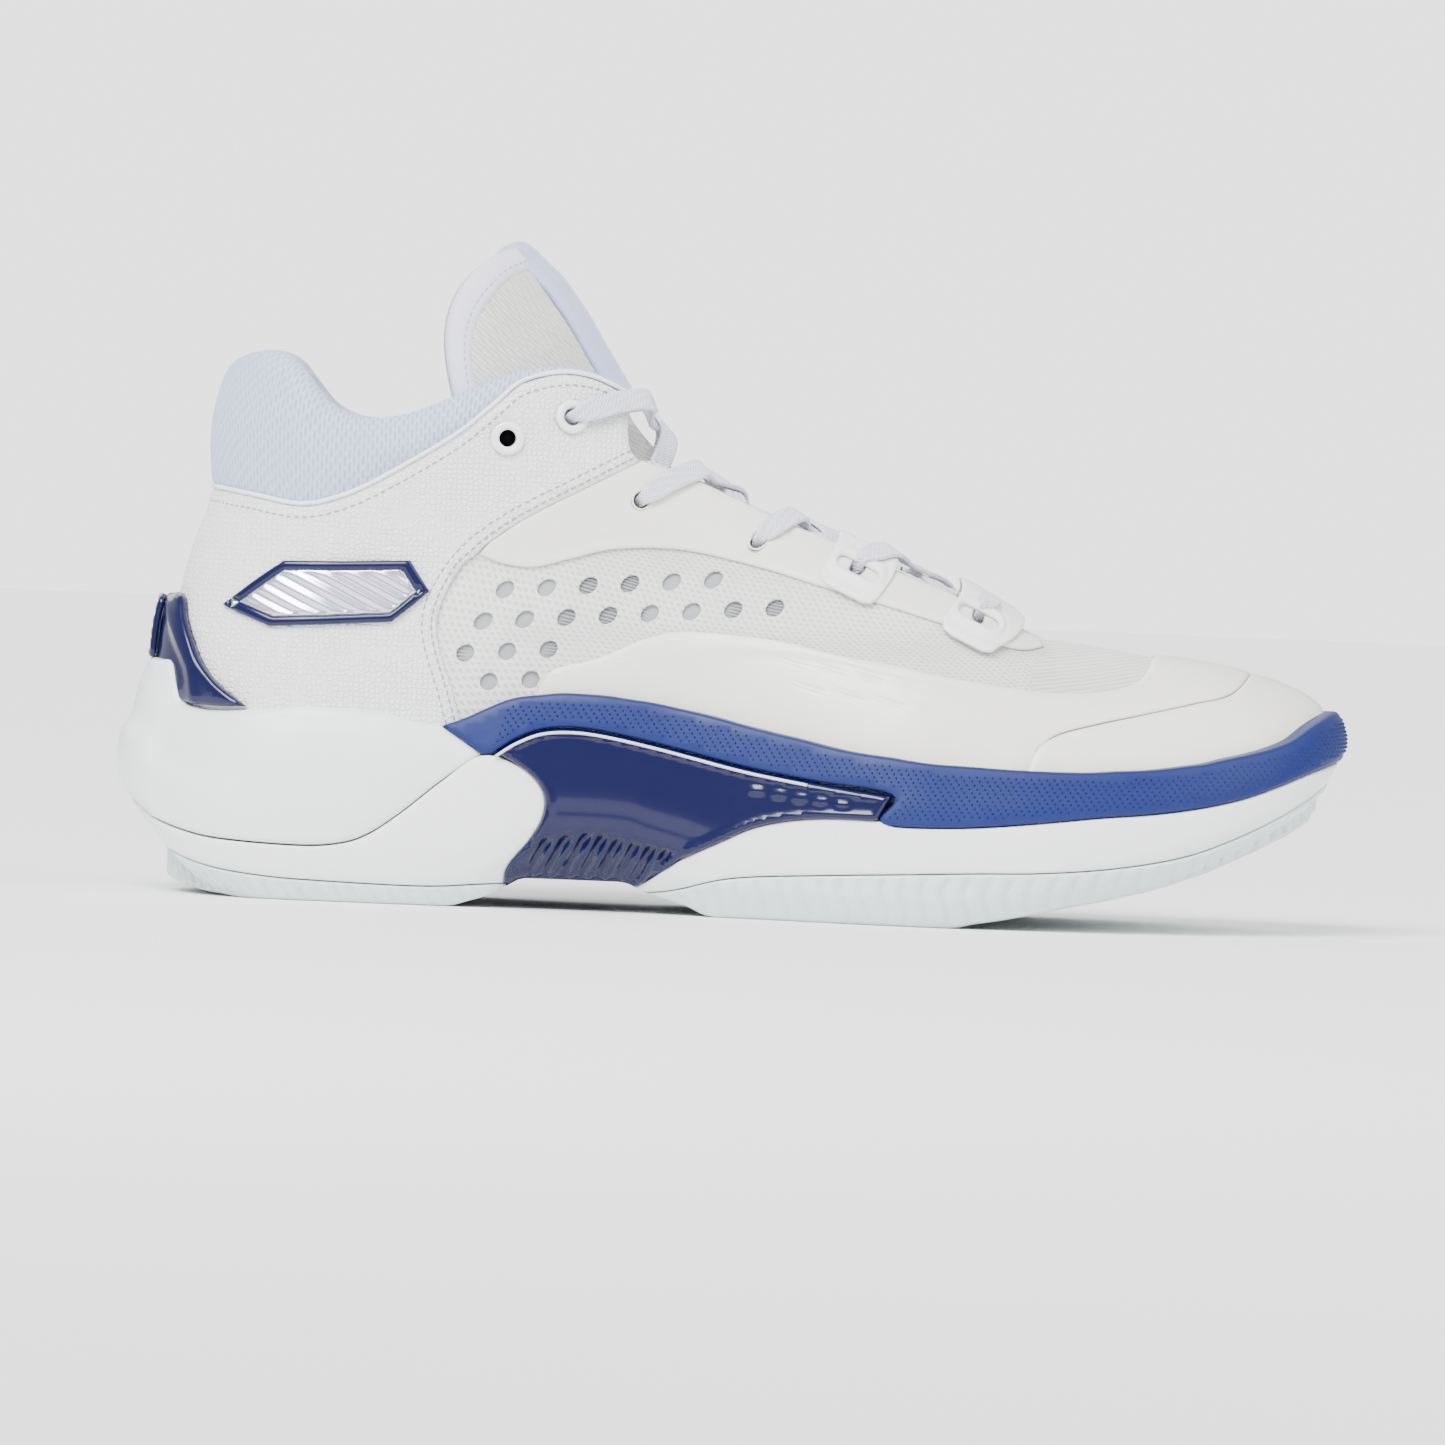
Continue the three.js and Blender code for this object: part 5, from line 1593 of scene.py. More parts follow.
def make_eyestays():
    """Film eyestays with a debossed line along their lower edge that turns up at the front."""
    made = []
    for name, side in SIDES:
        sheet = Skin(side)
        line = sheet.flat(spaced(spline(DEBOSS[:9]), 1.0))
        line = np.vstack([line, sheet.flat(spaced(np.array(DEBOSS[8:]), 1.0))])

        def relief(flat, edge):
            return -0.42 * bell(distance_to(flat, line, closed=False), 0.75)

        holes = flat_holes(sheet, [at for at, _ in STOPS[:4]], HOLE_RADIUS, 18, OVERLAY[1])
        loop = cut(sheet, [THROAT, EYESTAY_LOW, SEAM[3::-1]], OVERLAY[1])
        body = panel(
            f"eyestay_{name}", sheet, loop, *OVERLAY, finish("film"), holes=holes, edge=0.5,
            step=1.3, relief=relief)
        rims = hole_rims(
            f"eyelet_rim_{name}", sheet, [at for at, _ in STOPS[2:4]], HOLE_RADIUS,
            OVERLAY[1] + 0.05, finish("film"),
        )
        made.append(stand_for(
            join(f"eyestay_{name}", [body, *rims]), "film_cream", f"eyestay_{name}",
        ))
    return made


def leaned(centre, points):
    """Points round a centre, turned to lean with the throat."""
    c, s = math.cos(THROAT_LEAN), math.sin(THROAT_LEAN)
    return [(centre[0] + u * c - v * s, centre[1] + u * s + v * c) for u, v in points]


def stadium(half_length, radius, count=9):
    """A slot outline with round ends."""
    right = np.linspace(-math.pi / 2, math.pi / 2, count)
    arc = np.stack([half_length - radius + radius * np.cos(right), radius * np.sin(right)], axis=1)
    return np.vstack([arc, -arc])


def make_loops():
    """Folded film tabs round the two front lace stops, each with a slot and a pressed border."""
    made = []
    outer = [
        (-8, -4.4), (-6.6, -6.4), (-4.6, -7), (4.4, -7), (6.4, -6.2), (7.4, -4.4), (8, 6.4),
        (-8, 6.4),
    ]
    depth = (ON_OVERLAY, ON_OVERLAY + OVERLAY_THICK)
    for side_name, side in SIDES:
        sheet = Skin(side)
        for place, at in LOOP_PLACES:
            loop = tidy_loop(sheet.flat(leaned(at, outer), depth[1]), 0.8)
            slot_loop = sheet.flat(leaned(at, stadium(5.5, 1.5)), depth[1])

            def relief(flat, edge, rim=slot_loop):
                far = distance_to(flat, rim)
                return 0.45 * bell(far - 0.9, 0.6) - 0.3 * bell(far - 2.6, 0.45) + 0.15

            tab = panel(
                f"ghillie_loop_{place}_{side_name}", sheet, loop, *depth, finish("tab"),
                holes=[slot_loop], edge=0.45,
                step=0.55, relief=relief)
            made.append(place_on_shoe(tab, "loop_film", f"ghillie_loop_{place}_{side_name}"))
    return made


def make_rings():
    """Turned rings with a rounded flange and a barrel down through the quarter and lining."""
    made = []
    top = ON_QUARTER + 0.9
    profile = [
        (2.1, -3.2), (2.8, -3.2), (2.8, ON_QUARTER - 0.1), (4.1, ON_QUARTER - 0.1),
        (4.15, top - 0.55), (3.9, top - 0.2),
        (3.3, top), (2.8, top - 0.02), (2.35, top - 0.22), (2.1, top - 0.7),
    ]
    for side_name, side in SIDES:
        for place, at in RING_PLACES:
            foot = on_skin([at], side, 0.0)
            axis = Vector(skin_normal(foot)[0])
            turn = np.linspace(0, math.tau, 40, endpoint=False)
            rings = np.array([
                [(r * math.cos(t), r * math.sin(t), h) for t in turn] for r,
                h in [*profile, profile[0]]
            ])
            verts, faces = tube_grid(rings, caps=False)
            rotation = np.array(axis.to_track_quat("Z", "Y").to_matrix())
            obj = new_object(
                f"eyelet_ring_{place}_{side_name}", verts @ rotation.T + foot, faces,
                finish("ring"),
            )
            weld(obj)
            face_outward(obj)
            pieces = [obj]
            # The upper ring gets a near-black disc inside its barrel: painted shade for the dark
            # inside of the shoe seen through the hole.
            if place == "upper":
                disc = np.array([[(
                    2.12 * math.cos(t), 2.12 * math.sin(t), h,
                ) for t in turn] for h in (-1.75, -1.35)])
                verts, faces = tube_grid(disc)
                pieces.append(new_object(
                    f"ring_painted_shade_{side_name}", verts @ rotation.T + foot, faces, finish("dark"),
                ))
                face_outward(pieces[-1])
            obj = join(f"eyelet_ring_{place}_{side_name}", pieces)
            made.append(stand_for(obj, "ring_plastic", f"eyelet_ring_{place}_{side_name}"))
    return made


WELD_DISTANCE = 2e-6


def weld(obj):
    """Merges doubled vertices."""
    mesh = bmesh.new()
    mesh.from_mesh(obj.data)
    bmesh.ops.remove_doubles(mesh, verts=mesh.verts, dist=WELD_DISTANCE)
    bmesh.ops.recalc_face_normals(mesh, faces=mesh.faces)
    mesh.to_mesh(obj.data)
    mesh.free()


def make_clip():
    """The glossy heel clip: a wing on each side with a raised facet line, and its spine piece."""
    sheet = Skin()
    wing = [
        (-137.2, 72.9), (-136, 67.5), (-134, 62.1), (-131, 56.4), (-127, 51.9), (-122, 48.4),
        (-119.4, 46.6),
    ]
    rim = [(-125, 46.3), (-131, 46.4), (-137, 47.2), (-141, 50), (-142.6, 53), (-143.4, 57)]
    upper = flat_path(sheet, wing[::-1] + [(-140, 72.9), (-146, 72.9)], CLIP[1])
    lower = flat_path(sheet, [wing[-1], *rim, (-150, 57)], CLIP[1])
    upper[-1, 0] = lower[-1, 0] = 0
    loop = both_sides(upper, lower, 1.0)
    facet = sheet.flat(
        spaced(spline([(-140, 71), (-136.5, 62), (-133, 55), (-132, 46)]), 1.0), CLIP[1],
    )

    def relief(flat, edge):
        far = np.minimum(
            distance_to(flat, facet, closed=False),
            distance_to(flat, facet * (-1, 1), closed=False),
        )
        return 0.55 * bell(far, 1.6)

    clip = panel("heel_clip", sheet, loop, *CLIP, finish("clip"), edge=1.1, step=1.1, relief=relief)
    place_on_shoe(clip, "clip_navy", "heel_clip")
    depth = (CLIP[1] + GAP, CLIP[1] + GAP + 1.6)
    corners = [
        (-5.5, 57.4), (-4.4, 56.4), (5.6, 56.4), (6.8, 57.6), (6.4, 69.6), (5.2, 70.8), (-4, 70.8),
        (-5.2, 69.6),
    ]
    ribs = lambda flat, edge: -0.45 * grooves(flat[:, 1], 2.6, 0.3) * ease((edge - 1.2) / 0.6)
    spine = panel(
        "clip_spine", sheet, tidy_loop(np.array(corners, float), 0.7), *depth, finish("clip"),
        edge=0.7, step=0.6, relief=ribs,
    )
    return place_on_shoe(spine, "clip_navy", "clip_spine")


def badge_ribs(flat, edge):
    """Slanting ribs of the badge's foil."""
    slant = (flat[:, 1] + 0.42 * flat[:, 0]) * math.tau / 3.2
    return 0.22 * np.sin(slant) * ease(edge / 1.5)


BADGE_FOOT, BADGE_FOIL, BADGE_RIM = ON_QUARTER - 0.2, ON_QUARTER + 0.85, ON_QUARTER + 1.3


def make_badges():
    """A plain six-sided badge on each quarter: a navy rim round a ribbed foil centre."""
    for name, side in SIDES:
        sheet = Skin(side)
        loop = tidy_loop(sheet.flat(BADGE, ON_QUARTER + 1.2), 0.8)
        inner = tidy_loop(inset_loop(loop, 2.3), 0.8)
        rim = panel(
            f"badge_rim_{name}", sheet, loop, BADGE_FOOT, BADGE_RIM, finish("clip"),
            holes=[inner], edge=0.7, step=0.9)
        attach(rim, SHOE)
        foil = tidy_loop(inset_loop(loop, 2.2), 0.8)
        core = panel(
            f"badge_{name}", sheet, foil, BADGE_FOOT, BADGE_FOIL, finish("badge"),
            edge=0.4, step=0.5, relief=badge_ribs)
        place_on_shoe(core, "badge_silver", f"badge_{name}")
    return core


# ------------------------------------------------------------------ inside pieces
def make_lining():
    """The textile lining, and the board pieces between it and the upper."""
    parts = []
    for name, side in SIDES:
        sheet = Skin(side)
        top = sheet.flat(outline([
            (-172, 97), raised(COLLAR_LINE, -2), [
                (x - 0.5, z - 2) for x, z in QUARTER_TOP
            ], (-29, 117), (-29, 111),
            (-34, 103), (-30, 94.4), (4, 85), (28, 79.4), (56, 68.6), (74, 66.6), (84, 90),
        ])[:-1])
        whole = float(look_up(RING, np.array([math.pi]), np.array([19.6]))[0])
        loop = tidy_loop(
            np.vstack([[0, 19.6], top, sheet.front(top[-1, 1] - 1, 21), [whole, 19.6]]), 1.6,
        )
        parts.append(panel(
            f"lining_{name}", sheet, loop, *LINING, finish("lining"), edge=0.4, step=3.2, rows=2.2,
        ))
    lining = join("lining", parts)
    stand_for(lining, "lining_textile", "lining")
    heel = Skin()
    upper = flat_path(heel, [(-80, 34), (-90, 62), (-118, 82), (-128, 84), (-146, 84)])
    low = heel.flat([(-80, 30), (-150, 30)])
    upper[-1, 0] = low[-1, 0] = 0
    counter = panel(
        "heel_counter", heel, both_sides(upper, low), *COUNTER, finish("board"), edge=0.3, step=4.0,
    )
    place_on_shoe(counter, "board_fibre", "heel_counter")
    toe = Skin(from_toe=True)
    upper = flat_path(toe, [(94, 34), (98, 42), (106, 54), (116, 62), (124, 80)])
    upper[-1, 0] = 0
    puff = panel(
        "toe_puff", toe, both_sides(upper, np.array([[upper[0, 0], 24.0], [0, 24.0]])), *BACKING,
        finish("board"), edge=0.2, step=4.0, rows=2.0,
    )
    return place_on_shoe(puff, "board_fibre", "toe_puff")


def footbed_piece(name, low, high, inset, key, slot_name, dish=0.0, edge=0.8):
    """A plan-shaped pad between two flat heights inside the lining, its top dished for the foot."""
    turns = np.linspace(0.02, math.pi - 0.02, 130)
    across = np.linspace(-1, 1, 49)
    bend = np.sin(across * math.pi / 2)
    levels = []
    for z, top in ((low, False), (high, True)):
        rim = [skin_base(turns, np.full_like(turns, z), side) for side in (LATERAL, MEDIAL)]
        rim = [r + skin_normal(r) * np.array([1, 1, 0]) * -inset for r in rim]
        lean = bend[None, :, None]
        grid = rim[0][:, None] * (1 - lean) / 2 + rim[1][:, None] * (1 + lean) / 2
        if top:
            ends = ease(np.minimum(turns, math.pi - turns) / 0.12)[:, None]
            fall = ease((1 - np.abs(across)) / 0.06)[None, :] * ends
            bowl = dish * (1 - across[None, :] ** 2) * ease(-(grid[:, :, 0] + 20) / 60)
            grid[:, :, 2] += (fall - 1) * edge - bowl
        levels.append(grid.reshape(-1, 3))
    verts = np.vstack(levels)
    obj = new_object(name, verts, slab_faces(len(turns), len(across)), finish(key), verts[:, :2])
    face_outward(obj)
    return place_on_shoe(obj, slot_name, name)


BOARD_FOOT, INSOLE_FOOT = FOOTBED + GAP, FOOTBED + 2.1 + GAP
BOARD_THICK, INSOLE_THICK = 1.8, 5
FOOTBED_INSET = 3.8


def make_footbed():
    footbed_piece(
        "lasting_board", BOARD_FOOT, BOARD_FOOT + BOARD_THICK, FOOTBED_INSET, "board",
        "board_fibre",
    )
    insole = footbed_piece(
        "insole", INSOLE_FOOT, INSOLE_FOOT + INSOLE_THICK, FOOTBED_INSET, "insole", "insole_foam",
        dish=1.6, edge=1.2)
    return insole


# ------------------------------------------------------------------ padded pieces
SWELL_PRESSURE, SWELL_FRAMES, SWELL_CAP = 4.0, 12, 1.1


def inflate(obj, pinned):
    """Swells a closed mesh by air pressure with the cloth solver; pinned vertices stay put. The
    movement is held under SWELL_CAP millimetres, and the largest one before that is returned."""
    mesh = obj.data
    rest = np.zeros(len(mesh.vertices) * 3)
    mesh.vertices.foreach_get("co", rest)
    rest = rest.reshape(-1, 3)
    group = obj.vertex_groups.new(name="pinned")
    group.add([int(i) for i in pinned], 1.0, "REPLACE")
    cloth = obj.modifiers.new("swell", "CLOTH")
    settings = cloth.settings
    settings.quality = 5
    settings.mass = 0.0002
    settings.use_pressure = True
    settings.uniform_pressure_force = SWELL_PRESSURE
    settings.vertex_group_mass = "pinned"
    settings.tension_stiffness = settings.compression_stiffness = 12
    settings.shear_stiffness = 4
    settings.bending_stiffness = 0.4
    settings.effector_weights.gravity = 0
    cloth.collision_settings.use_collision = False
    cloth.point_cache.frame_start, cloth.point_cache.frame_end = 1, SWELL_FRAMES
    scene = bpy.context.scene
    for number in range(1, SWELL_FRAMES + 1):
        scene.frame_set(number)
    swollen = obj.evaluated_get(bpy.context.evaluated_depsgraph_get())
    moved = np.zeros(len(mesh.vertices) * 3)
    swollen.data.vertices.foreach_get("co", moved)
    move = moved.reshape(-1, 3) - rest
    obj.modifiers.remove(cloth)
    obj.vertex_groups.remove(group)
    scene.frame_set(1)
    far = np.linalg.norm(move, axis=1, keepdims=True)
    limit = SWELL_CAP / 1000
    move *= np.tanh(far / limit) * limit / np.maximum(far, 1e-9)
    mesh.vertices.foreach_set("co", (rest + move).ravel())
    mesh.update()
    return float(far.max() * 1000)


def smooth_surface(obj):
    """Applies one subdivision."""
    modifier = obj.modifiers.new("soft", "SUBSURF")
    modifier.levels = modifier.render_levels = 1
    with bpy.context.temp_override(object=obj, active_object=obj):
        bpy.ops.object.modifier_apply(modifier=modifier.name)
    obj.data.shade_smooth()


COLLAR_INSIDE = smooth([
    (-140, 74), (-104, 76), (-84, 90), (-66, 104), (-58, 117), (-52, 128.4), (-46, 129.8),
    (-27, 124.8),
])
COLLAR_DEPTH = smooth([(-140, 8.2), (-96, 8.0), (-70, 7.0), (-56, 6.2), (-44, 5), (-27, 3.4)])


def collar_sections():
    """Closed sections of the collar pad round the ankle, from the outer front to the inner front:
    each is a list of (offset from the skin, flat height)."""
    sheet = Skin(MEDIAL)
    low_line = flat_path(sheet, COLLAR_LINE + QUARTER_TOP[1:], QUARTER[1])
    top_line = flat_path(sheet, COLLAR_TOP, QUARTER[1])
    x_line = on_skin_x(sheet, low_line)
    ends = min(low_line[-1, 0], top_line[-1, 0]) - 0.4
    along = np.concatenate([np.linspace(0, 30, 16), np.linspace(32, ends, 56)])
    sections = []
    for s in along:
        low = np.interp(s, low_line[:, 0], low_line[:, 1]) + GAP
        top = np.interp(s, top_line[:, 0], top_line[:, 1])
        x = np.interp(s, low_line[:, 0], x_line)
        deep = float(COLLAR_DEPTH(x))
        inside_low = min(float(COLLAR_INSIDE(x)), low - 1.2)
        tall = top - low
        roll = min(5.0, tall * 0.42)
        swell = min(1.5, tall * 0.09)
        section = [(1.4, low)]
        for k in np.linspace(0.04, 1, 7):
            section.append((
                1.75 + swell * math.sin(math.pi * min(1, k * 0.96)), mix(low, top - roll, k),
            ))
        for angle in np.linspace(0.2, math.pi - 0.2, 7):
            centre, wide = (1.75 - deep) / 2, (1.75 + deep) / 2
            section.append((centre + wide * math.cos(angle), top - roll + roll * math.sin(angle)))
        for k in np.linspace(0, 1, 8)[:-1]:
            taper = ease(np.array((k - 0.62) / 0.38))
            section.append((mix(-deep, -3.9, float(taper)), mix(top - roll, inside_low, k)))
        section.append((-3.7, inside_low))
        for k in (0.35, 0.7, 1):
            section.append((-3.55, mix(inside_low, low - 0.8, k)))
        section.append((-2.2, low - 0.1))
        sections.append(section)
    return along, sections


def on_skin_x(sheet, flat):
    return sheet.place(flat, 0.0)[:, 0]


FREE_POINTS = (2, 21)  # first and last point of a section that may swell


def make_collar():
    """The padded ankle collar, swollen by the cloth solver, with its rolled band and seam cord."""
    along, sections = collar_sections()
    size = len(sections[0])
    rings, uv = [], []
    both = [
        (-s, section) for s, section in zip(along[:0:-1], sections[:0:-1])
    ] + list(zip(along, sections))
    sheet = Skin()
    for s, section in both:
        flat = np.array([(s, z) for _, z in section])
        flat[:, 0] += 1e-6
        rings.append(sheet.place(flat, np.array([o for o, _ in section])))
        uv.append(np.column_stack([np.full(size, s), run_lengths(rings[-1])]))
    verts, faces = tube_grid(rings)
    collar = new_object("collar_pad", verts, faces, finish("collar"), np.vstack(uv))
    face_outward(collar)
    held = [i for i in range(size) if not FREE_POINTS[0] <= i <= FREE_POINTS[1]]
    pinned = [r * size + i for r in range(len(rings)) for i in held]
    pinned += [r * size + i for r in (0, 1, len(rings) - 2, len(rings) - 1) for i in range(size)]
    print("collar swells by up to", inflate(collar, sorted(set(pinned))), "mm")
    smooth_surface(collar)
    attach(collar, SHOE)
    stand_for(collar, "collar_knit", "collar_pad")
    cords = []
    for name, side in SIDES:
        one = Skin(side)
        path = flat_path(one, COLLAR_LINE + QUARTER_TOP[1:], QUARTER[1])
        path = path[path[:, 0] > 0.5]
        cords.append(ribbon_tube(
            f"collar_cord_{name}", one.place(path + (0, 0.35), 1.75), 0.55, finish("collar_edge"),
        ))
    join("collar_seam_cord", cords)
    return collar


def tongue_paths(sheet):
    """The tongue's outline laid flat, from its foot up the rear edge to the top of the ridge."""
    rear = flat_path(sheet, TONGUE_REAR, -6.8)
    foot = flat_path(sheet, TONGUE_LOW[::-1], 0.0)
    rear[-1, 0] = 0
    foot[-1, 0] = 0
    return rear, foot


def tongue_relief(flat, edge):
    """Crowned foam with the seams of the shell: one across, one slanting down from the top."""
    across, z = np.abs(flat[:, 0]), flat[:, 1]
    crown = 0.9 * ease(edge / 9)
    seam = bell(z - 141 - 0.35 * (across - 20), 0.8) * ease((across - 8) / 6)
    slant = bell(across - 27 - 0.42 * (z - 135), 0.8) * ease((z - 118) / 8)
    folds = 0.12 * np.sin(z * 0.35 + across * 0.16) * ease((edge - 4) / 8)
    return crown - 0.7 * np.maximum(seam, slant) + folds - 0.5


def make_tongue():
    """The padded tongue, one soft piece, and the binding on its edge."""
    sheet = Skin(from_toe=True)
    rear, foot = tongue_paths(sheet)
    loop = both_sides(rear, foot, 1.4)
    tongue = panel(
        "tongue_body", sheet, loop, *TONGUE_DEPTH, finish("tongue"),
        edge=1.7, step=2.1, rows=1.5, relief=tongue_relief)
    weld(tongue)
    bend_at_fold(tongue)
    stand_for(
        tongue, "tongue_mesh", "tongue_face_lower", "tongue_face_top", "tongue_pad_lower",
        "tongue_pad_top",
    )
    edge_path = rear[rear[:, 1] > 112]
    inner = inset_path(edge_path, 5.5)
    inner[-1, 0] = 0
    band_loop = both_sides(edge_path, inner, 1.0)
    binding = panel(
        "tongue_binding", sheet, band_loop, TONGUE_DEPTH[0] - 0.4, TONGUE_DEPTH[1] + 0.75,
        finish("binding"), edge=1.5, step=1.3, rows=1.0)
    bend_at_fold(binding)
    stand_for(binding, "tongue_binding", "tongue_binding")
    rows = []
    middle_line = inset_path(edge_path, 3.6)[:-3]
    for side in (LATERAL, MEDIAL):
        at = sheet.place(middle_line * (side, 1), TONGUE_DEPTH[1] + 0.85)
        up = sheet.place(middle_line * (side, 1), TONGUE_DEPTH[1] + 1.85)
        rows.append((at, up - at))
    thread = stitches(
        "tongue_stitches", rows, finish("thread_white"), pitch=1.9, length=1.2, radius=0.2,
    )
    bend_at_fold(thread)
    return tongue


def inset_path(path, by):
    """An open flat path moved to its inner side, toward the ridge and downward."""
    return path + turned(unit(np.gradient(path, axis=0))) * by


def bend_at_fold(obj):
    """Bakes a tongue piece's transform into its mesh."""
    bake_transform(obj)


STRAP_OUTER = [
    (-64, 157.4), (-62, 160.2), (-59, 161.9), (-56.5, 162.2), (-54, 161.1), (-50, 157.6),
    (-46, 153.9), (-43, 150.1),
    (-39, 144.6), (-35.5, 138.8), (-32.4, 134.0), (-29.6, 129.6), (-27, 125.6),
]
STRAP_HALF_WIDTH = 7.3


def make_strap():
    """The satin pull strap: a folded ribbon that stands off the tongue and leaves a finger gap."""
    path = spaced(spline(STRAP_OUTER), 0.9)
    normal = turned(unit(np.gradient(path, axis=0)))
    thick = 1.5
    across = np.linspace(-1, 1, 17)
    run = run_lengths(path)
    drape = 4.2 * ease(run / 14.0) * ease((run[-1] - run) / 8.0)
    rings, uv = [], []
    for (x, z), n, fall, far in zip(path, normal, drape, run):
        crown = -fall * across**2
        rib = 0.1 * np.cos(across * math.pi * 5)
        upper = [
            (x + n[0] * c, STRAP_HALF_WIDTH * a, z + n[1] * c) for a,
            c in zip(across, crown + rib - 0.15)
        ]
        lower = [
            (x + n[0] * c, STRAP_HALF_WIDTH * a, z + n[1] * c) for a,
            c in zip(across[::-1], crown[::-1] - thick)
        ]
        rings.append(np.array(upper + lower))
        uv.append(np.column_stack([
            np.r_[across, across[::-1]] * STRAP_HALF_WIDTH, np.full(2 * len(across), far),
        ]))
    verts, faces = tube_grid(rings)
    strap = new_object("pull_strap", verts, faces, finish("strap"), np.vstack(uv))
    face_outward(strap)
    rows = []
    for y in (-5.6, 5.6):
        seam = (path - normal * (drape * (y / STRAP_HALF_WIDTH) ** 2 + 0.1)[:, None])[2:-2]
        flat_y = np.full(len(seam), y)
        rows.append((
            np.column_stack([seam[:, 0], flat_y, seam[:, 1]]),
            np.column_stack([normal[2:-2, 0], flat_y * 0, normal[2:-2, 1]]),
        ))
    thread = stitches(
        "strap_stitches", rows, finish("thread_white"), pitch=2.0, length=1.3, radius=0.17,
    )
    for piece in (strap, thread):
        bend_at_fold(piece)
    return stand_for(strap, "strap_satin", "pull_strap")


# ------------------------------------------------------------------ lace
UNDER_FLAP_CLEARANCE = 0.85
HOLE_STEP = 3.6
STRAND_HEIGHT = -2.5
TIP_LENGTH = 11.0


CAST_REACH, CAST_HALVINGS = 90.0, 40


def cast_to_skin(points, up):
    """Points moved along up until they meet the skin."""
    near, far = np.zeros(len(points)), np.full(len(points), CAST_REACH)
    for _ in range(CAST_HALVINGS):
        middle_way = (near + far) / 2
        within_skin = inside(points + up * middle_way[:, None]) > 0
        near = np.where(within_skin, middle_way, near)
        far = np.where(within_skin, far, middle_way)
    return points + up * near[:, None]


throat_height = smooth([(-27.4, 112.6), *THROAT])


class LaceRoute:
    """The way of the lace: places, outward normals and widths, from one tucked end to the other."""

    def __init__(self, width, thickness):
        self.width = width
        self.thickness = thickness
        self.under = LINING[0] - UNDER_FLAP_CLEARANCE - thickness / 2

    def high(self, stop):
        return stop[1] + 1.5 * GAP + self.thickness / 2

    def crossing(self, a, b, side, lift, is_bar=False):
        """From hole a on one side to hole b on the other, over the skin."""
        start, end = on_skin([STOPS[a][0]], side, 0)[0], on_skin([STOPS[b][0]], -side, 0)[0]
        x = (start[0] + end[0]) / 2
        slope = float(ridge(x + 12) - ridge(x + 2)) / 10
        up = np.array([-slope, 0, 1]) / math.hypot(slope, 1)
        share = np.linspace(0, 1, 81)[:, None]
        way = cast_to_skin(start + (end - start) * share, up)
        lengths = run_lengths(way)
        whole, middle_way = lengths[-1], lengths[len(lengths) // 2]
        is_open = (way[:, 0] > QUARTER_THROAT[0][0]) & (way[:, 2] > throat_height(way[:, 0]))
        leave, reach = lengths[is_open][0] + self.width / 3, lengths[is_open][-1] - self.width / 3
        level = self.width * 1.05
        first = self.high(STOPS[a]) if is_bar else self.under
        last = self.high(STOPS[b])
        height_at = smooth([
            (0, first), (leave, first), (middle_way - level, lift), (middle_way + level, lift),
            (reach, last), (whole, last),
        ])
        runs = [np.linspace(p, q, max(2, math.ceil((q - p) / 1.2))) for p, q in (
            (HOLE_STEP, leave), (leave + 1, middle_way - level), (
                middle_way - level + 1, middle_way + level - 1,
            ),
            (middle_way + level, reach - 1), (reach, whole - HOLE_STEP))]
        at = np.concatenate(runs)
        points = along_run(at, lengths, way)
        normals = skin_normal(points)
        return list(zip(
            points + normals * height_at(at)[:, None], normals, np.full(len(at), self.width),
        ))

    def dive(self, stop, side):
        top = self.high(stop)
        return [(
            on_skin([stop[0]], side, h)[0], None, self.width / 2,
        ) for h in (top, (top + self.under) / 2, self.under)]

    def half(self, side, lift):
        stations, here = self.dive(STOPS[0], side), side
        for i in range(len(STOPS) - 1):
            stations += self.crossing(i, i + 1, here, lift)
            here = -here
            stations += self.dive(STOPS[i + 1], here)
        x, z = STOPS[-1][0]
        for t in (0.22, 0.45, 0.7, 1):
            point = on_skin(
                [(mix(x, TUCKED_END[0], t), mix(z, TUCKED_END[1], t))], here, self.under,
            )
            stations.append((point[0], skin_normal(point)[0], self.width))
        return stations

    def stations(self):
        lower = self.half(LATERAL, STRAND_HEIGHT)
        upper = self.half(MEDIAL, STRAND_HEIGHT + self.thickness + GAP)
        return [*lower[::-1], *self.crossing(0, 0, LATERAL, STRAND_HEIGHT, True), *upper]


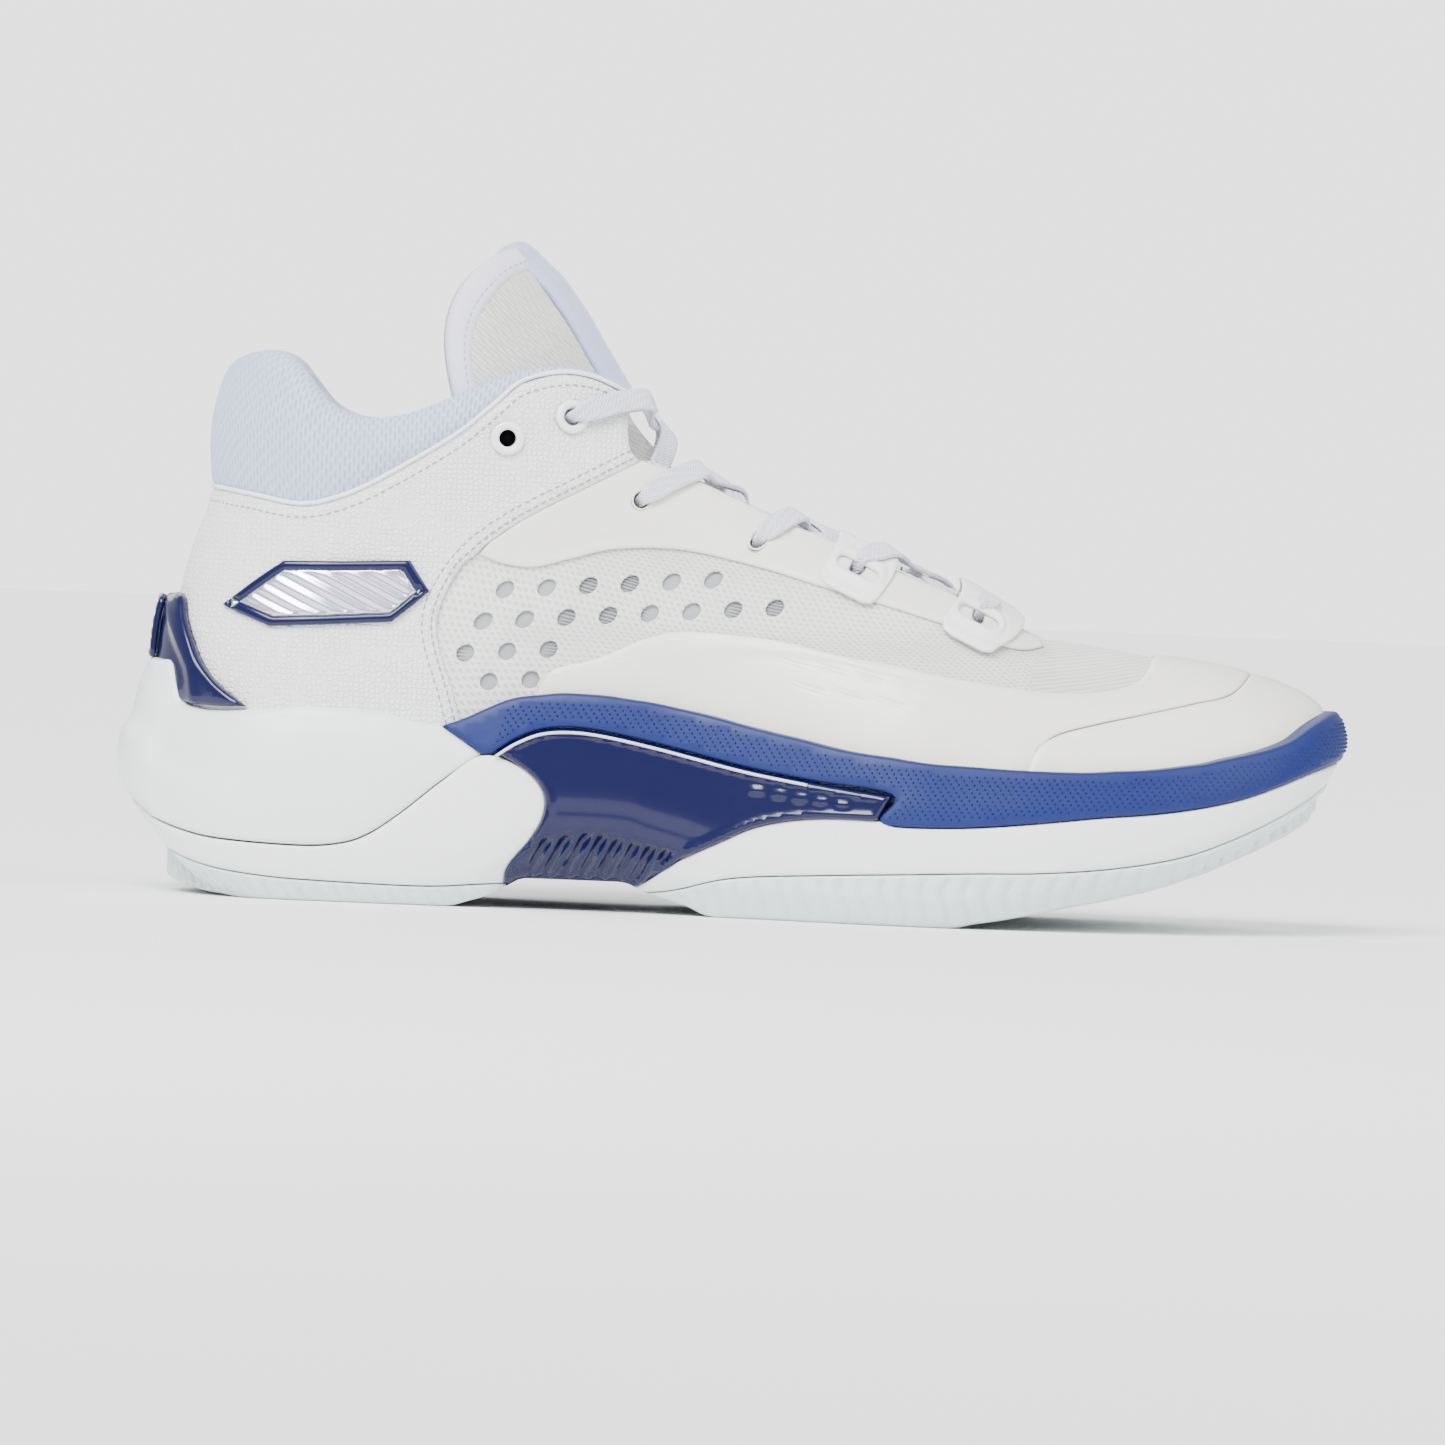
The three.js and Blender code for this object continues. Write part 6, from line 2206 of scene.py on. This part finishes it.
def flat_band(name, stations, thickness, material, step=0.8):
    """A flat woven band through the stations, with rounded thicker edges."""
    points = np.array([s[0] for s in stations])
    travel = unit(np.gradient(points, axis=0))
    across, previous = [], None
    for t, (_, normal, _) in zip(travel, stations):
        side = previous if normal is None else np.cross(t, normal)
        if side is None:
            side = np.cross(t, skin_normal(points[:1])[0] + (0, 0, 1e-3))
        if previous is not None and side @ previous < 0:
            side = -side
        side = side - t * (side @ t)
        previous = side / np.linalg.norm(side)
        across.append(previous)
    lengths = run_lengths(points)
    at = np.linspace(0, lengths[-1], int(lengths[-1] / step))
    fields = along_run(at, lengths, np.column_stack([points, across, [s[2] for s in stations]]))
    for _ in range(3):
        fields[1:-1] = fields[1:-1] * 0.5 + (fields[:-2] + fields[2:]) * 0.25
    points, across, width = fields[:, :3], fields[:, 3:6], fields[:, 6]
    travel = unit(np.gradient(points, axis=0))
    across = unit(across - travel * (across * travel).sum(axis=1, keepdims=True))
    up = np.cross(across, travel)
    u = np.array([-1, -0.97, -0.86, -0.6, -0.3, 0, 0.3, 0.6, 0.86, 0.97, 1])
    v = np.array([0.25, 0.72, 0.98, 0.84, 0.9, 0.82, 0.9, 0.84, 0.98, 0.72, 0.25])
    section = np.vstack([np.column_stack([u, v]), np.column_stack([u[::-1], -v[::-1]])])
    rings = (
        points[:, None] + across[:, None] * (width[:, None] / 2 * section[:, 0])[..., None]
        + up[:, None] * (thickness / 2 * section[:, 1])[None, :, None]
    )
    uv = np.stack(
        [width[:, None] / 2 * section[:, 0], np.repeat(at[:, None], len(section), axis=1)], axis=-1,
    )
    verts, faces = tube_grid(rings)
    obj = new_object(name, verts, faces, material, uv.reshape(-1, 2))
    face_outward(obj)
    return obj


def make_lace(sizes):
    route = LaceRoute(sizes.lace_width * 1000, sizes.lace_thickness * 1000)
    lace = flat_band("lace", route.stations(), route.thickness, finish("lace"))
    place_on_shoe(lace, "lace_textile", "lace")
    for name, side in SIDES:
        x, z = TUCKED_END
        stations = []
        for drop in np.linspace(route.thickness / 2 + 2 * GAP, TIP_LENGTH, 8):
            point = on_skin([(x - drop * 0.3, z - drop)], side, route.under)
            stations.append((point[0], skin_normal(point)[0], 2.6))
        tip = flat_band(f"lace_tip_{name}", stations, 1.8, finish("tip"), step=0.5)
        place_on_shoe(tip, "lace_tip", f"lace_tip_{name}")
    return lace


# ------------------------------------------------------------------ stage
CAMERA_ROLL = math.radians(2.3)
CAMERA_RISE = math.radians(1.5)
VIEW_WIDTH = 0.3545
VIEW_CENTRE = Vector((-0.0029, 0.0, 0.0464))
CAMERA_FAR = 3.2
SENSOR = 36.0
BACKDROP = 2.6
FLOOR_HALF = 4000
# Name, kind, place, size (a sun's angle or an area's side) and power.
LIGHTS = (
    ("key_light", "SUN", (-0.5, -1.0, 1.25), math.radians(35), 5.2),
    ("fill_light", "SUN", (1.2, -0.6, 1.3), math.radians(50), 1.6),
    ("rim_light", "SUN", (-0.6, 1.3, 1.1), math.radians(50), 1.6),
    ("strip_light", "AREA", (-0.25, -0.9, 0.75), 0.45, 5.0),
)


def make_stage(sizes):
    """A plain pale floor, soft studio light from above and both sides, and a long-lens camera."""
    floor_material = Finish("floor_paper", (0.93, 0.93, 0.93), 0.9)
    floor_material.tint(
        ramp(
            floor_material.tree, floor_material.use("mottle", Scale=2.0)["Slow"], 0.3, 0.7, 0, 0.3,
        ),
        (0.91, 0.91, 0.91),
    )
    corners = [(FLOOR_HALF * x, FLOOR_HALF * y, 0) for x, y in ((-1, -1), (1, -1), (1, 1), (-1, 1))]
    floor = new_object("floor", corners, [(0, 1, 2, 3)], floor_material.material)
    world = bpy.data.worlds.new("studio")
    world.use_nodes = True
    nodes, links = world.node_tree.nodes, world.node_tree.links
    nodes["Background"].inputs["Color"].default_value = (1, 1, 1, 1)
    seen = ramp(
        world.node_tree, nodes.new("ShaderNodeLightPath").outputs["Is Camera Ray"], 0, 1,
        sizes.sky_strength, BACKDROP,
    )
    links.new(seen, nodes["Background"].inputs["Strength"])
    bpy.context.scene.world = world
    for name, kind, place, size, power in LIGHTS:
        light = bpy.data.lights.new(name, kind)
        light.energy = power * sizes.light_strength
        if kind == "SUN":
            light.angle = size
        else:
            light.size = size
        obj = bpy.data.objects.new(name, light)
        obj.location = place
        obj.rotation_mode = "QUATERNION"
        obj.rotation_quaternion = (VIEW_CENTRE - Vector(place)).to_track_quat("-Z", "Y")
        bpy.context.scene.collection.objects.link(obj)
    camera = bpy.data.cameras.new("camera")
    camera.type = "PERSP"
    camera.sensor_width = SENSOR
    camera.lens = SENSOR * CAMERA_FAR / VIEW_WIDTH
    camera.clip_end = 50
    obj = bpy.data.objects.new("camera", camera)
    bpy.context.scene.collection.objects.link(obj)
    back = Vector((0, -math.cos(CAMERA_RISE), math.sin(CAMERA_RISE)))
    obj.location = VIEW_CENTRE + back * CAMERA_FAR
    right = Vector((math.cos(CAMERA_ROLL), 0, math.sin(CAMERA_ROLL)))
    right = (right - back * right.dot(back)).normalized()
    obj.rotation_mode = "QUATERNION"
    obj.rotation_quaternion = Matrix((right, back.cross(right), back)).transposed().to_quaternion()
    bpy.context.scene.camera = obj
    return obj


# ------------------------------------------------------------------ properties
class HighTopSizes(PropertyGroup):
    """Sizes a user would change"""

    lace_width: FloatProperty(
        name="Lace width", description="Width of the flat lace", default=0.0056, min=0.003,
        max=0.0066, subtype="DISTANCE", unit="LENGTH",
    )
    lace_thickness: FloatProperty(
        name="Lace thickness", description="Thickness of the flat lace", default=0.0012, min=0.0006,
        max=0.0014, subtype="DISTANCE", unit="LENGTH",
    )
    light_strength: FloatProperty(
        name="Studio light", description="Share of the usual studio light power", default=1.0,
        min=0.0, subtype="FACTOR",
    )
    sky_strength: FloatProperty(
        name="Sky light", description="Strength of the even light all round", default=0.7, min=0.0,
    )


def colour_property(name, description, default):
    return FloatVectorProperty(
        name=name, description=description, default=default, size=3, min=0, max=1, subtype="COLOR",
    )


class HighTopColours(PropertyGroup):
    """Colours a user would change"""

    foam: colour_property("Foam", "Midsole foam", (0.90, 0.92, 0.92))
    cup: colour_property("Heel foam", "Upper foam block of the heel", (0.84, 0.885, 0.90))
    rand: colour_property("Rand", "Studded band round the forefoot", (0.006, 0.016, 0.115))
    plate: colour_property(
        "Plate", "Plate at the waist, and the heel clip", (0.0012, 0.0028, 0.042),
    )
    rubber: colour_property("Outsole", "Translucent rubber underfoot", (0.74, 0.83, 0.84))
    quarter: colour_property("Quarter", "Scaled leather round the ankle", (0.90, 0.91, 0.91))
    collar: colour_property("Collar", "Knit over the ankle padding", (0.50, 0.61, 0.84))
    film: colour_property("Film", "Smooth film over the forefoot", (0.88, 0.87, 0.79))
    tongue: colour_property("Tongue", "Ripstop shell of the tongue", (0.62, 0.605, 0.57))
    strap: colour_property("Strap", "Satin pull strap", (0.46, 0.50, 0.76))
    lace: colour_property("Lace", "Flat woven lace", (0.80, 0.80, 0.90))


# ------------------------------------------------------------------ operators
def finished(*made):
    """What execute returns once its makers have run; raises if one of them made nothing."""
    if any(one is None for one in made):
        raise RuntimeError("a piece was not made")
    return {"FINISHED"}


class HIGH_TOP_OT_sole_foam(Operator):
    """Builds the midsole foam and the heel's foam block"""

    bl_idname = "high_top.sole_foam"
    bl_label = "Sole foam"
    bl_options = {"REGISTER", "UNDO"}

    def execute(self, context):
        return finished(make_midsole(), make_heel_cup())


class HIGH_TOP_OT_sole_bands(Operator):
    """Builds the studded rand and the waist plate"""

    bl_idname = "high_top.sole_bands"
    bl_label = "Rand and plate"
    bl_options = {"REGISTER", "UNDO"}

    def execute(self, context):
        return finished(make_rand(), make_plate())


class HIGH_TOP_OT_outsoles(Operator):
    """Builds the heel and forefoot outsoles with their tread"""

    bl_idname = "high_top.outsoles"
    bl_label = "Outsoles"
    bl_options = {"REGISTER", "UNDO"}

    def execute(self, context):
        return finished(make_outsoles())


class HIGH_TOP_OT_quarters(Operator):
    """Builds the scaled leather quarters"""

    bl_idname = "high_top.quarters"
    bl_label = "Quarters"
    bl_options = {"REGISTER", "UNDO"}

    def execute(self, context):
        return finished(make_quarters())


class HIGH_TOP_OT_vamp(Operator):
    """Builds the perforated mesh vamp"""

    bl_idname = "high_top.vamp"
    bl_label = "Vamp"
    bl_options = {"REGISTER", "UNDO"}

    def execute(self, context):
        return finished(make_vamp())


class HIGH_TOP_OT_films(Operator):
    """Builds the forefoot film, toe cap and eyestays"""

    bl_idname = "high_top.films"
    bl_label = "Films"
    bl_options = {"REGISTER", "UNDO"}

    def execute(self, context):
        return finished(make_film(), make_toe_cap(), make_eyestays())


class HIGH_TOP_OT_lace_holders(Operator):
    """Builds the folded tabs and the rings"""

    bl_idname = "high_top.lace_holders"
    bl_label = "Lace holders"
    bl_options = {"REGISTER", "UNDO"}

    def execute(self, context):
        return finished(make_loops(), make_rings())


class HIGH_TOP_OT_heel(Operator):
    """Builds the heel clip, its spine and the badges"""

    bl_idname = "high_top.heel"
    bl_label = "Heel clip and badges"
    bl_options = {"REGISTER", "UNDO"}

    def execute(self, context):
        return finished(make_clip(), make_badges())


class HIGH_TOP_OT_inside(Operator):
    """Builds the lining, stiffeners and footbed"""

    bl_idname = "high_top.inside"
    bl_label = "Inside"
    bl_options = {"REGISTER", "UNDO"}

    def execute(self, context):
        return finished(make_lining(), make_footbed())


class HIGH_TOP_OT_collar(Operator):
    """Builds the padded ankle collar"""

    bl_idname = "high_top.collar"
    bl_label = "Collar"
    bl_options = {"REGISTER", "UNDO"}

    def execute(self, context):
        return finished(make_collar())


class HIGH_TOP_OT_tongue(Operator):
    """Builds the padded tongue, its binding and the pull strap"""

    bl_idname = "high_top.tongue"
    bl_label = "Tongue"
    bl_options = {"REGISTER", "UNDO"}

    def execute(self, context):
        return finished(make_tongue(), make_strap())


class HIGH_TOP_OT_lace(Operator):
    """Threads the lace along its route"""

    bl_idname = "high_top.lace"
    bl_label = "Lace"
    bl_options = {"REGISTER", "UNDO"}

    def execute(self, context):
        return finished(make_lace(context.scene.high_top_sizes))


class HIGH_TOP_OT_stage(Operator):
    """Sets up floor, light and camera"""

    bl_idname = "high_top.stage"
    bl_label = "Stage"
    bl_options = {"REGISTER", "UNDO"}

    def execute(self, context):
        return finished(make_stage(context.scene.high_top_sizes))


OPERATORS = (
    HIGH_TOP_OT_sole_foam,
    HIGH_TOP_OT_sole_bands,
    HIGH_TOP_OT_outsoles,
    HIGH_TOP_OT_quarters,
    HIGH_TOP_OT_vamp,
    HIGH_TOP_OT_films,
    HIGH_TOP_OT_lace_holders,
    HIGH_TOP_OT_heel,
    HIGH_TOP_OT_inside,
    HIGH_TOP_OT_collar,
    HIGH_TOP_OT_tongue,
    HIGH_TOP_OT_lace,
    HIGH_TOP_OT_stage,
)


class HIGHTOP_PT_panel(Panel):
    """Sizes, colours and the operators"""

    bl_label = "Basketball High Top"
    bl_space_type = "VIEW_3D"
    bl_region_type = "UI"
    bl_category = "High Top"

    def draw(self, context):
        layout = self.layout
        for group in (context.scene.high_top_sizes, context.scene.high_top_colours):
            for name in group.bl_rna.properties.keys():
                if name not in {"rna_type", "name"}:
                    layout.prop(group, name)
        for piece in OPERATORS:
            layout.operator(piece.bl_idname)


CLASSES = (HighTopSizes, HighTopColours, *OPERATORS, HIGHTOP_PT_panel)


def register():
    for one in CLASSES:
        bpy.utils.register_class(one)
    bpy.types.Scene.high_top_sizes = PointerProperty(type=HighTopSizes)
    bpy.types.Scene.high_top_colours = PointerProperty(type=HighTopColours)


def unregister():
    del bpy.types.Scene.high_top_colours
    del bpy.types.Scene.high_top_sizes
    for one in reversed(CLASSES):
        bpy.utils.unregister_class(one)


def main():
    register()
    for piece in OPERATORS:
        group, name = piece.bl_idname.split(".")
        getattr(getattr(bpy.ops, group), name)()


if __name__ == "__main__":
    main()
